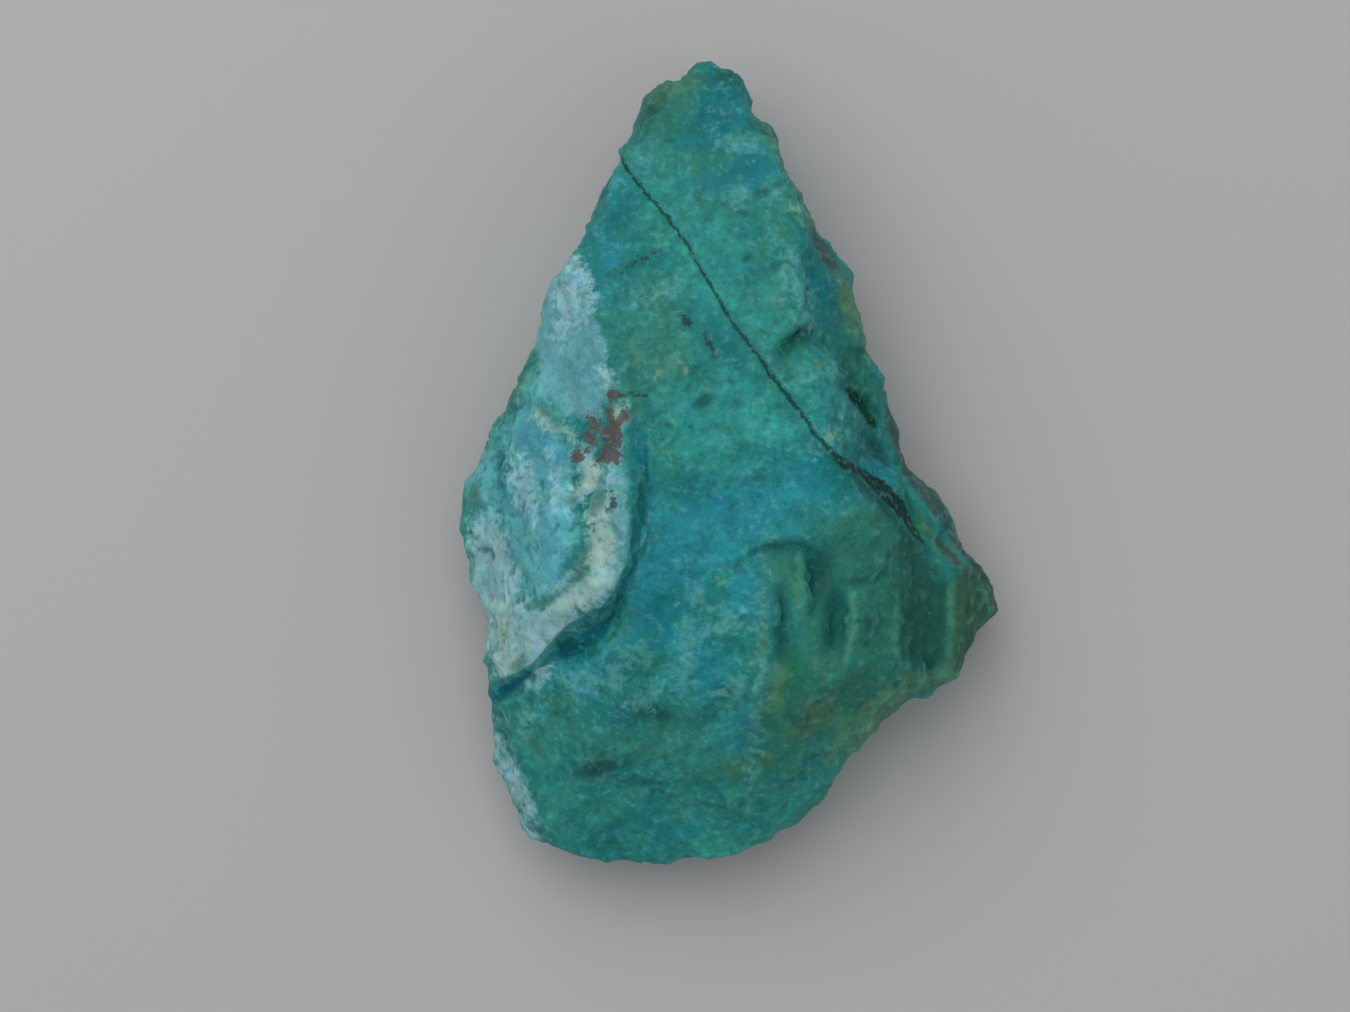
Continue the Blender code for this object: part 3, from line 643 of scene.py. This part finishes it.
        ((-11.96, -4.2), 0.32, 0.28, 0.0), ((-12.2, -4.8), 0.22, 0.2, 0.0),
    ],
    "dendrite": [  # the brown fern-like growth
        ((-12.3, 2.6), 1.5, 1.15, 90.0), ((-12.36, 6.6), 0.75, 0.5, 80.0),
        ((-12.5, 5.0), 0.5, 0.45, 0.0), ((-13.9, 3.6), 1.1, 0.52, -42.0),
        ((-14.4, 2.2), 1.2, 0.5, -29.0), ((-15.7, 0.6), 0.7, 0.48, 80.0),
        ((-14.8, 1.0), 0.45, 0.35, 0.0), ((-11.8, 0.8), 1.1, 0.55, 95.0),
        ((-13.0, 0.5), 1.2, 0.6, 28.0), ((-12.5, 1.2), 1.2, 0.7, 90.0),
    ],
}
# A stroke is a path with its half width at each point
strokes = {
    "emerald": [
        [(16.8, -2.4, 0.3), (18.0, -4.6, 0.7), (19.4, -6.6, 0.6), (21.2, -8.4, 0.3)],
        [(12.6, 7.6, 0.5), (13.9, 5.8, 0.6), (14.8, 5.0, 0.4)],
    ],
    "olive": [[(19.4, -5.6, 0.2), (20.4, -7.2, 0.4), (22.4, -9.6, 0.3)]],
    # painted highlight on the lit ridges of the steps; yellow-green stripes across the corner
    "limeAndHighlight": [
        [(6.5, -9.0, 0.35), (6.6, -13.8, 0.35)], [(2.7, -12.2, 0.4), (2.9, -19.8, 0.5)],
        [(16.5, -11.4, 0.3), (16.5, -19.4, 0.3)], [(22.2, -10.9, 0.2), (22.1, -19.2, 0.35)],
        [(11.8, -12.8, 0.2), (12.0, -16.0, 0.3), (11.2, -19.0, 0.25)],
        [(10.4, 18.4, 0.5), (11.8, 15.2, 0.9), (12.8, 12.2, 0.7)],
    ],
    "rim": [  # worn yellow-green outer edge
        [(2.2, 34.4, 0.4), (4.4, 31.4, 0.7), (6.6, 27.4, 0.8), (8.2, 23.6, 0.6)],
        [(10.4, 19.2, 0.5), (12.6, 14.6, 0.8), (14.0, 10.6, 0.5)],
        [(10.6, 18.0, 0.3), (11.2, 16.2, 0.6), (11.6, 14.8, 0.3)],
        [(23.2, -21.4, 0.4), (18.4, -22.6, 0.6), (14.8, -26.2, 0.8), (11.6, -29.6, 0.6)],
        [(-26.6, -3.0, 0.4), (-25.0, 2.8, 0.6), (-21.4, 8.4, 0.5)],
    ],
    # painted shade under the ledges and in the vein's crevice
    "deep": [
        [(1.6, -9.0, 0.15), (3.6, -8.2, 0.4), (6.4, -8.0, 0.35), (8.6, -9.0, 0.15)],
        [(10.6, -11.8, 0.15), (12.8, -11.6, 0.2), (15.2, -10.3, 0.12)],
        [(-1.9, 25.9, 0.15), (-0.3, 25.1, 0.25), (1.1, 24.4, 0.15)],
        [(8.5, 1.4, 0.12), (12.4, -1.8, 0.3), (15.0, -4.4, 0.4), (18.0, -8.0, 0.25)],
        [(16.9, -9.6, 0.15), (17.0, -15.0, 0.3), (17.2, -19.6, 0.2)],
    ],
    "shade": [  # softer dark hollows
        [(4.4, -12.6, 0.2), (4.6, -15.6, 0.5), (4.9, -19.6, 0.2)],
        [(7.2, -9.0, 0.1), (8.0, -10.8, 0.5), (8.8, -12.6, 0.4)],
        [(10.8, 9.2, 0.1), (11.4, 7.6, 0.5), (12.6, 6.2, 0.5)],
        [(13.0, 3.0, 0.1), (12.8, 1.6, 0.4), (12.4, 0.2, 0.4)],
    ],
    "crackShadow": [  # painted shadow in the cracks under the slab's edges
        [(11.2, 7.2, 0.15), (12.1, 6.6, 0.6), (12.8, 5.8, 0.4), (13.3, 5.0, 0.4),
         (14.0, 4.2, 0.55), (14.5, 3.6, 0.2)],
        [(5.4, 12.3, 0.05), (6.5, 12.8, 0.2), (7.0, 13.5, 0.1)],
    ],
    "slope": [  # smooth face between bulge and point, and the crust's rim
        [(-11.2, 3.6, 0.3), (-11.8, 0.0, 0.6), (-11.5, -4.0, 0.9), (-11.5, -8.6, 0.9),
         (-12.4, -12.0, 0.8), (-13.6, -13.4, 0.4)],
    ],
    "cream": [[(-11.1, 5.9, 0.3), (-11.6, 5.2, 0.35), (-11.7, 3.9, 0.25)]],
    "butter": [  # small yellowish dots
        [(-8.0, 8.2, 0.1), (-7.5, 8.5, 0.3)], [(-5.3, 9.8, 0.1), (-4.9, 8.8, 0.3)],
        [(-1.7, -11.6, 0.25), (-1.3, -11.8, 0.1)], [(9.0, 2.4, 0.1), (10.0, 2.6, 0.3)],
        [(5.4, 25.3, 0.15), (6.2, 24.9, 0.35)], [(8.0, 9.2, 0.25), (8.8, 9.6, 0.1)],
        [(-10.6, 6.2, 0.2), (-10.9, 5.2, 0.3)],
    ],
    # painted highlight on the crust's top
    "whiteAndGlint": [
        [(-17.6, 16.8, 0.2), (-17.6, 12.8, 0.2)], [(-14.5, 16.8, 0.15), (-14.6, 13.6, 0.15)],
    ],
    "moss": [
        [(-19.8, -14.2, 0.35), (-18.2, -13.4, 0.4), (-16.2, -12.0, 0.25), (-15.0, -10.6, 0.5)],
    ],
    "wall": [  # the crust's wall
        [(-9.9, 4.4, 0.2), (-9.8, 2.6, 0.75), (-9.7, 0.6, 0.95), (-9.6, -2.4, 0.75),
         (-9.7, -5.0, 0.6), (-9.8, -7.4, 0.45), (-10.3, -10.0, 0.45), (-11.4, -12.6, 0.5),
         (-12.6, -14.4, 0.6)],
        [(-12.0, -14.2, 0.6), (-13.6, -15.8, 1.2), (-16.0, -17.2, 1.5), (-18.2, -18.8, 0.9),
         (-20.2, -20.2, 0.3), (-21.8, -21.4, 0.5), (-23.4, -22.6, 1.1), (-25.0, -23.6, 0.9)],
    ],
    "slot": [  # painted shadow in the slots under the crust and at the foot of its wall
        [(-12.4, -15.4, 0.2), (-13.6, -16.8, 0.7), (-15.2, -18.0, 0.7), (-17.2, -19.2, 0.4)],
        [(-20.8, -21.2, 0.2), (-22.6, -22.4, 0.6), (-24.4, -23.4, 0.5)],
        [(-8.9, 3.0, 0.05), (-8.75, 1.0, 0.14), (-8.8, -2.0, 0.14), (-9.1, -6.0, 0.05)],
    ],
    "rust": [  # brown beside the corner
        [(20.6, -7.6, 0.2), (22.4, -9.4, 0.3), (23.3, -10.6, 0.2)],
        [(22.6, -7.4, 0.3), (25.2, -10.4, 0.5), (26.8, -12.2, 0.5), (27.4, -14.6, 0.3)],
    ],
    "brown": [
        [(-3.0, 12.9, 0.1), (-2.9, 12.0, 0.3), (-2.3, 11.2, 0.12), (-2.1, 10.4, 0.35),
         (-1.7, 9.6, 0.15)],
        [(-11.4, 18.9, 0.15), (-9.8, 19.5, 0.25), (-8.6, 20.2, 0.15), (-7.6, 20.8, 0.05)],
        [(-5.4, 14.6, 0.1), (-4.8, 14.0, 0.35), (-4.5, 13.2, 0.2)],
        [(-12.4, 6.4, 0.3), (-11.2, 6.4, 0.2), (-9.9, 6.5, 0.15), (-8.9, 6.5, 0.05)],
    ],
    "seam": [  # the brown seam of the right edge
        [(15.6, 5.6, 0.2), (16.4, 3.4, 0.6), (17.1, 1.6, 0.9), (17.8, 0.0, 1.0),
         (18.6, -1.6, 0.9), (19.8, -3.0, 0.8), (21.2, -4.8, 0.8), (22.2, -6.6, 0.6),
         (23.2, -8.2, 0.35)],
        [(8.0, 23.0, 0.3), (9.0, 21.4, 0.7), (10.2, 19.6, 0.5)],
    ],
    "dendrite": [[(-12.4, 4.8, 0.3), (-12.3, 3.4, 0.3)], [(-11.8, 3.0, 0.4), (-11.0, 4.7, 0.3)]],
}
# A pane is a convex outline, clockwise
panes = {
    # painted shade on the right corner's faces turned from the lamp
    "faceShade": [
        [(17.3, -8.6), (20.6, -10.2), (22.0, -12.6), (21.8, -19.6), (18.4, -21.0), (17.4, -19.0)],
        [(16.4, -6.2), (19.6, -8.2), (20.0, -10.0), (16.6, -9.4)],
    ],
    "drab": [
        [(22.6, -10.2), (25.4, -10.4), (28.2, -14.0), (24.4, -22.6), (22.0, -22.4), (22.4, -15.0)],
    ],
    "shade": [
        [(9.8, -12.0), (10.8, -13.8), (11.0, -16.4), (10.2, -18.8), (9.2, -18.4), (9.0, -14.6)],
    ],
    "slope": [
        [(-17.0, 20.8), (-15.2, 19.2), (-13.0, 11.1), (-12.1, 7.3), (-13.6, 3.5), (-15.3, 4.1),
         (-17.4, 5.0), (-19.4, 8.4), (-20.6, 12.6), (-20.2, 16.0)],
    ],
}
markNames = list(dict.fromkeys([*ovals, *strokes, *panes]))

# Marks that run on down the sides
wrapping = ("forest", "drab", "olive", "rim", "slope", "ash", "seam", "rust")


def strokeField(x, y, stroke):
    # millimetres inside a stroke, distance to its middle line, and its half width there
    path = [point[:2] for point in stroke]
    side, walked, _ = follow(x, y, path)
    steps = [math.dist(a, b) for a, b in itertools.pairwise(path)]
    stations = np.concatenate([[0.0], np.cumsum(steps)])
    halfWidth = np.interp(walked, stations, [point[2] for point in stroke])
    return halfWidth - np.abs(side), side, halfWidth


def paneField(x, y, corners):
    inside = []
    for (ax, ay), (bx, by) in itertools.pairwise([*corners, corners[0]]):
        run = math.hypot(bx - ax, by - ay)
        inside.append(((x - ax) * (by - ay) - (y - ay) * (bx - ax)) / run)
    return np.minimum.reduce(inside)


def markField(x, y, name):
    # millimetres inside the nearest mark of this name, negative outside
    inside = [(1.0 - ovalReach(x, y, *place)) * place[2] for place in ovals.get(name, [])]
    inside += [paneField(x, y, corners) for corners in panes.get(name, [])]
    inside += [strokeField(x, y, stroke)[0] for stroke in strokes.get(name, [])]
    return np.maximum.reduce(inside)


# Shell-like ripples of the broken bulge, round a point near its left edge
ripplePlace = ((-18.4, -4.6), 7.5, 4.4, 84.0)
rippleMiddle = (-22.8, -3.4)
rippleSquash = 0.75
rippleTurn = 3.3  # radians for each millimetre
rippleWander = 1.2
rippleWanderTurn = 0.35

# Fine level grooves across the right corner
stripePlace = ((20.2, -15.5), 7.0, 4.6, 95.0)
stripeStretch = (0.3, 2.0, 0.3)
stripeSlant = 0.12
stripeSeed = 54


def bulgeRipples(x, y):
    reach = np.hypot(x - rippleMiddle[0], rippleSquash * (y - rippleMiddle[1]))
    wander = rippleWander * np.sin(rippleWanderTurn * y)
    return within(x, y, ripplePlace) * np.cos(rippleTurn * reach + wander)


def cornerStripes(points):
    x, y, _ = points.T
    stretched = points * stripeStretch
    stretched[:, 1] += stripeSlant * x
    return within(x, y, stripePlace) * softNoise(stretched, 1.0, stripeSeed)


chipBend = 0.4  # how far the fine chips' edges wander, as a share of their size
bendSize = 2.6
bendSeeds = (41, 42, 43)
grainWorn = 0.4  # share of the grain that worn stone keeps
veinBank = 0.3  # width of the slope on each side of the vein


def fineRelief(piece):
    points = readPoints(piece.data)
    normals = readNormals(piece.data)
    x, y, _ = points.T
    worn = wornShare(normals)
    hackly = np.maximum.reduce([within(x, y, place) for place in roughPlaces + finePlaces])
    share = 1.0 - worn * (stone["wornLoss"] - stone["hacklyKept"] * hackly)
    bend = np.stack([softNoise(points, bendSize, seed) for seed in bendSeeds], axis=1)
    depth = np.zeros(len(points))
    for size, deep, seed in stone["fineChips"]:
        depth += deep * chips(points + chipBend * size * bend, size, seed) * share
    for size, deep, seed in stone["fineLumps"]:
        depth += deep * softNoise(points, size, seed)
    size, deep, seed = stone["fineGrain"]
    depth += deep * softNoise(points, size, seed) * (grainWorn + (1.0 - grainWorn) * share)
    depth += stone["rippleDepth"] * bulgeRipples(x, y)
    depth += stone["stripeDepth"] * cornerStripes(points)
    _, side, halfWidth = strokeField(x, y, veinPath)
    inVein = np.clip(1.0 - np.abs(side) / (halfWidth + veinBank), 0.0, 1.0)
    depth -= worn * stone["veinDepth"] * inVein
    writePoints(piece.data, points + normals * depth[:, None])


def hollowness(mesh, rounds):
    # how far a smoothed surface lies above each point, so positive in pits and grooves
    return ((smoothed(mesh, rounds) - readPoints(mesh)) * readNormals(mesh)).sum(axis=1)


def addAttribute(mesh, name, values):
    made = mesh.attributes.new(name, "FLOAT", "POINT")
    made.data.foreach_set("value", values.astype(np.float32))


# Marks begin to show at these shares of the way up from the back to the front
faceFrom = 0.35
wrapFrom = 0.05
showRun = 0.3
hidden = 6.0  # millimetres taken off a mark's field where it isn't shown
pitRounds = 2
dipRounds = 28


def paintFields(piece):
    # what the material reads: how far inside each kind of mark and how hollow each point is
    mesh = piece.data
    x, y, z = readPoints(mesh).T
    back = backHeight(x, y)
    front = frontHeight(x, y)
    share = (z - back) / np.maximum(front - back, 0.1)
    facing = smoothStep((share - faceFrom) / showRun)
    rounding = smoothStep((share - wrapFrom) / showRun)
    for name in markNames:
        shown = rounding if name in wrapping else facing
        addAttribute(mesh, name, markField(x, y, name) - hidden * (1.0 - shown))
    _, side, halfWidth = strokeField(x, y, veinPath)
    addAttribute(mesh, "veinSide", side)
    addAttribute(mesh, "veinHalf", halfWidth)
    addAttribute(mesh, "facing", facing)
    addAttribute(mesh, "pits", hollowness(mesh, pitRounds))
    addAttribute(mesh, "dips", hollowness(mesh, dipRounds))


def settle(piece):
    # presses the lowest bumps flat and brings the stone to its solid's box, in metres
    points = readPoints(piece.data)
    level = points[:, 2].min() + stone["restCut"]
    points[:, 2] = np.maximum(points[:, 2], level)
    low, high = points.min(axis=0), points.max(axis=0)
    boxLow, boxHigh = (np.array(corner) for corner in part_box(stone["node"]))
    writePoints(piece.data, boxLow + (points - low) * (boxHigh - boxLow) / (high - low))


def makeStone():
    piece = makeSlab()
    voxelRemesh(piece, stone["slabVoxel"])
    shapeFaces(piece)
    voxelRemesh(piece, stone["stoneVoxel"])
    chipSurface(piece)
    voxelRemesh(piece, stone["stoneVoxel"])
    print("stone: broken to shape,", len(piece.data.vertices), "points")
    fineRelief(piece)
    paintFields(piece)
    settle(piece)
    piece.data.shade_smooth()
    print("stone: fine relief and marks laid out")
    return piece


class Wire:
    # an output that Python expressions can use
    def __init__(self, tree, socket=None):
        self.tree = tree
        self.socket = socket

    def node(self, kind, settings, sockets, out=0):
        made = self.tree.nodes.new(kind)
        for name, value in settings.items():
            setattr(made, name, value)
        for key, value in sockets.items():
            if isinstance(value, Wire):
                self.tree.links.new(value.socket, made.inputs[key])
            else:
                made.inputs[key].default_value = value
        return Wire(self.tree, made.outputs[out] if made.outputs else None)

    def math(self, operation, first, second=0.0):
        return self.node("ShaderNodeMath", {"operation": operation}, {0: first, 1: second})

    def __add__(self, other):
        return self.math("ADD", self, other)

    __radd__ = __add__

    def __sub__(self, other):
        return self.math("SUBTRACT", self, other)

    def __rsub__(self, other):
        return self.math("SUBTRACT", other, self)

    def __mul__(self, other):
        return self.math("MULTIPLY", self, other)

    __rmul__ = __mul__

    def __abs__(self):
        return self.math("ABSOLUTE", self)

    def rise(self, low, high):
        # 0 below low, 1 above high
        return self.node(
            "ShaderNodeMapRange", {"interpolation_type": "SMOOTHSTEP"}, {0: self, 1: low, 2: high}
        )

    def vector(self, operation, sockets):
        return self.node("ShaderNodeVectorMath", {"operation": operation}, sockets)

    def mix(self, first, second, share):
        sockets = {0: share, 6: first, 7: second}
        return self.node("ShaderNodeMix", {"data_type": "RGBA"}, sockets, 2)

    def toward(self, other, share):
        # this colour, with a share of another
        return self.mix(self, other, share)


# Colours of the stone as the eye sees them in this light, from 0 to 255
# some stand for light: painted shade and shadow in hollows, cracks and on turned-away faces,
# painted highlight on lit ridges
stoneColours = {
    "teal": (35, 117, 115), "leaf": (45, 121, 111), "green": (48, 118, 106),
    "blue": (36, 126, 141), "sea": (24, 98, 102), "cyan": (46, 134, 127),
    "forest": (44, 105, 90), "faceShade": (34, 80, 70), "drab": (52, 82, 62),
    "seam": (64, 70, 66), "olive": (74, 112, 82), "limeAndHighlight": (68, 124, 102),
    "rim": (80, 118, 88), "emerald": (20, 98, 72), "deep": (14, 76, 74),
    "shade": (6, 78, 73), "crackShadow": (2, 48, 38), "pale": (88, 152, 148),
    "shell": (85, 158, 165), "steel": (68, 132, 150), "slope": (91, 148, 155),
    "ash": (129, 171, 176), "cream": (142, 170, 158), "butter": (112, 156, 128),
    "whiteAndGlint": (136, 176, 184), "moss": (56, 98, 84), "wall": (32, 104, 106),
    "slot": (8, 92, 106), "rust": (70, 67, 58), "brown": (38, 58, 58),
    "dendrite": (80, 72, 70), "vein": (26, 48, 44), "veinCore": (32, 45, 42),
    "fleck": (82, 150, 146), "dark": (18, 84, 86), "matrix": (84, 82, 68),
}

# How each mark is laid on: how ragged it is in patches, blotches and specks (in millimetres),
# width of its soft edge, and the most of its colour that shows
layers = {
    "green": (8.0, 4.0, 1.0, 1.8, 0.8), "blue": (8.0, 4.0, 1.0, 1.8, 0.8),
    "sea": (6.0, 4.0, 1.5, 1.4, 0.75), "cyan": (8.0, 5.0, 1.5, 1.6, 0.8),
    "forest": (4.0, 3.0, 1.0, 1.4, 0.9), "faceShade": (1.0, 1.2, 0.8, 0.8, 0.85),
    "drab": (1.0, 1.6, 0.8, 0.6, 0.85), "emerald": (1.0, 1.6, 1.0, 0.4, 0.85),
    "olive": (2.0, 2.6, 0.8, 0.9, 0.65), "limeAndHighlight": (0.8, 1.4, 0.8, 0.4, 0.6),
    "rim": (0.8, 1.6, 0.8, 0.5, 0.65), "deep": (0.8, 1.2, 0.6, 0.4, 0.85),
    "shade": (1.0, 1.6, 0.6, 0.9, 0.85), "crackShadow": (0.2, 0.4, 0.3, 0.25, 0.95),
    "pale": (2.0, 4.0, 2.5, 1.0, 0.5), "shell": (3.0, 3.0, 1.5, 1.2, 0.9),
    "steel": (1.0, 1.4, 1.0, 0.6, 0.7), "slope": (1.0, 1.2, 0.8, 0.4, 0.95),
    "ash": (2.0, 2.4, 1.6, 0.8, 0.9), "cream": (1.5, 2.5, 2.5, 0.7, 0.8),
    "butter": (0.2, 0.6, 0.8, 0.3, 0.75), "whiteAndGlint": (1.0, 2.6, 3.4, 0.8, 0.75),
    "moss": (0.6, 1.6, 2.0, 0.4, 0.8), "wall": (0.3, 0.6, 0.5, 0.16, 0.9),
    "slot": (0.3, 0.5, 0.4, 0.3, 0.95), "rust": (0.3, 1.0, 1.4, 0.2, 0.8),
    "seam": (0.6, 2.0, 1.4, 0.3, 0.85), "brown": (0.3, 1.4, 2.2, 0.25, 0.9),
    "dendrite": (0.2, 1.2, 2.0, 0.15, 0.95),
}

# Noise of the colours: scale for each millimetre, detail, roughness
noises = {
    "swirl": (0.2, 2.0, 0.55), "broad": (0.08, 2.0, 0.55),
    "patch": (0.26, 3.0, 0.55), "blotch": (0.75, 4.0, 0.55),
    "speck": (1.7, 3.0, 0.55), "grain": (5.0, 3.0, 0.55),
    "dab": (0.9, 4.0, 0.6), "hues": (0.8, 4.0, 0.58),
}
darkest = 0.002
palest = 0.9


def linear(level):
    level = level / 255.0
    return level / 12.92 if level <= 0.04045 else ((level + 0.055) / 1.055) ** 2.4


def stoneMaterial():
    material = bpy.data.materials.new("chrysocollaStone")
    material.use_nodes = True
    tree = material.node_tree
    tree.nodes.clear()
    start = Wire(tree)

    def colour(name):
        seen = [linear(level) - stone["greySheen"] for level in stoneColours[name]]
        given = [level / stone["lightLevel"] for level in seen]
        return (*[max(darkest, min(palest, level)) for level in given], 1.0)

    def noise(place, name, out="Fac"):
        scale, detail, roughness = noises[name]
        sockets = {"Vector": place, "Scale": scale, "Detail": detail, "Roughness": roughness}
        return start.node("ShaderNodeTexNoise", {}, sockets, out)

    def field(name):
        return start.node("ShaderNodeAttribute", {"attribute_name": name}, {}, "Fac")

    inMetres = start.node("ShaderNodeTexCoord", {}, {}, "Object")
    place = start.vector("SCALE", {"Vector": inMetres, "Scale": 1.0 / mm})
    pulled = {0: noise(place, "swirl", "Color"), 1: (stone["swirl"],) * 3, 2: place}
    swirled = start.vector("MULTIPLY_ADD", pulled)
    broad, patch, blotch = (noise(swirled, name) - 0.5 for name in ("broad", "patch", "blotch"))
    speck, grain, dab = (noise(place, name) - 0.5 for name in ("speck", "grain", "dab"))
    facing = field("facing")

    # body: teal and a greener teal in clouds, brown matrix in patches of the back and the
    # broken sides, then each mark over it
    clouds = (broad + 0.8 * patch).rise(-0.1, 0.12)
    body = start.mix(colour("teal"), colour("leaf"), clouds)
    matrix = (broad + 0.6 * patch).rise(0.02, 0.12) * (1 - facing)
    body = body.toward(colour("matrix"), stone["matrixShare"] * matrix)
    shares = {}
    for name, (byPatch, byBlotch, bySpeck, edge, most) in layers.items():
        inside = field(name) + byPatch * patch + byBlotch * blotch + bySpeck * speck
        shares[name] = inside.rise(-edge, edge)
        body = body.toward(colour(name), most * shares[name])

    # vein: a thin crack, brown and broad near the right corner
    gap = abs(field("veinSide") + 0.9 * blotch + 0.3 * speck)
    vein = (field("veinHalf") + 0.6 * speck - gap).rise(-0.1, 0.08)
    core = vein * field("veinHalf").rise(0.25, 0.6)

    # light and dark flecks, painted shade in pits and broad hollows, pale worn edges
    plain = 1 - 0.7 * (shares["slope"] + shares["forest"]) - 0.5 * shares["ash"]
    light = plain * (dab + 0.6 * speck + 0.3 * grain).rise(0.0, 0.3)
    dark = plain * (dab + 0.4 * speck).rise(-0.04, -0.26)
    for name, setting, shown in (
        ("vein", "veinShare", vein),
        ("veinCore", "veinCoreShare", core),
        ("fleck", "fleckShare", light),
        ("dark", "darkShare", dark),
        # painted shade: darker in small pits, and deep teal in broad hollows
        ("dark", "pitShadeShare", field("pits").rise(0.02, 0.09)),
        ("deep", "dipShadeShare", field("dips").rise(0.15, 0.6)),
        ("fleck", "edgeShare", field("pits").rise(-0.02, -0.08)),
    ):
        body = body.toward(colour(name), stone[setting] * shown)

    # uneven tone, and a little of its own in each of red, green and blue
    least = [1.0 - 0.5 * spread for spread in stone["hueSpread"]]
    uneven = {0: noise(place, "hues", "Color"), 1: stone["hueSpread"], 2: least}
    body = start.vector("MULTIPLY", {0: body, 1: start.vector("MULTIPLY_ADD", uneven)})
    tone = 1.0 + 0.7 * patch + 0.9 * blotch + 0.4 * speck + 0.4 * grain
    body = start.vector("SCALE", {"Vector": body, "Scale": tone})

    # uneven gloss, duller in the cracks and smoother on the crust's slope
    shine = stone["roughness"] + 0.35 * speck + 0.3 * grain - 0.08 * shares["slope"]
    shine = shine + 0.4 * (shares["crackShadow"] + shares["slot"])
    height = 0.6 * speck + 0.5 * grain - 0.3 * vein
    bump = start.node(
        "ShaderNodeBump",
        {},
        {"Height": height, "Strength": stone["grainBump"], "Distance": stone["bumpDepth"] * mm},
        "Normal",
    )
    shader = start.node(
        "ShaderNodeBsdfPrincipled",
        {},
        {
            "Base Color": body,
            "Roughness": shine,
            "Normal": bump,
            "IOR": 1.5,
            "Specular IOR Level": stone["gloss"],
        },
        "BSDF",
    )
    start.node("ShaderNodeOutputMaterial", {}, {"Surface": shader})
    return material


# The room: pale grey floor, one big soft lamp beyond the stone's point, pale light all round
studio = {
    "floorSize": 1.6,
    "floorColour": (0.615, 0.608, 0.603),
    "floorRoughness": 0.9,
    "worldColour": (0.945, 0.965, 1.0),
    "worldStrength": 0.415,
    "lampPlace": (-0.17, 0.28, 0.52),
    "lampSize": 0.65,
    "lampPower": 1.5,
    "lampColour": (1.0, 0.985, 0.96),
}


def makeStudio():
    bpy.ops.mesh.primitive_plane_add(size=studio["floorSize"], location=(0.0, 0.0, cadBox[0][2]))
    floor = bpy.context.object
    floor.name = "floor"
    paint = bpy.data.materials.new("floorGrey")
    paint.use_nodes = True
    shader = paint.node_tree.nodes["Principled BSDF"]
    shader.inputs["Base Color"].default_value = (*studio["floorColour"], 1.0)
    shader.inputs["Roughness"].default_value = studio["floorRoughness"]
    floor.data.materials.append(paint)
    world = bpy.data.worlds.new("room")
    world.use_nodes = True
    light = world.node_tree.nodes["Background"]
    light.inputs["Color"].default_value = (*studio["worldColour"], 1.0)
    light.inputs["Strength"].default_value = studio["worldStrength"]
    bpy.context.scene.world = world
    lamp = bpy.data.lights.new("softLamp", "AREA")
    lamp.size = studio["lampSize"]
    lamp.energy = studio["lampPower"]
    lamp.color = studio["lampColour"]
    holder = bpy.data.objects.new("softLamp", lamp)
    holder.location = studio["lampPlace"]
    holder.rotation_euler = (-Vector(studio["lampPlace"])).to_track_quat("-Z", "Y").to_euler()
    bpy.context.scene.collection.objects.link(holder)
    print("studio: floor, lamp and world")


# The photograph's view: straight down on the stone
view = {
    "lens": 135.0,
    "sensor": 36.0,
    "frameWidth": 135.0,  # millimetres across the picture, at the height of the stone's rim
    "rimHeight": 12.0,
    "centre": (-5.45, -4.15),
    "clipStart": 0.01,
}


def makeCamera():
    data = bpy.data.cameras.new("above")
    data.lens = view["lens"]
    data.sensor_width = view["sensor"]
    data.clip_start = view["clipStart"]
    camera = bpy.data.objects.new("above", data)
    distance = view["frameWidth"] * view["lens"] / view["sensor"]
    height = view["rimHeight"] + distance
    camera.location = (view["centre"][0] * mm, view["centre"][1] * mm, height * mm)
    bpy.context.scene.collection.objects.link(camera)
    bpy.context.scene.camera = camera
    print("camera: straight down from", round(height), "mm")


makeCamera()
makeStudio()
piece = makeStone()
piece.data.materials.append(stoneMaterial())
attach(piece, "root")
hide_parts(stone["node"])
print("stone: finished")

bpy.context.scene.view_settings.view_transform = "Standard"
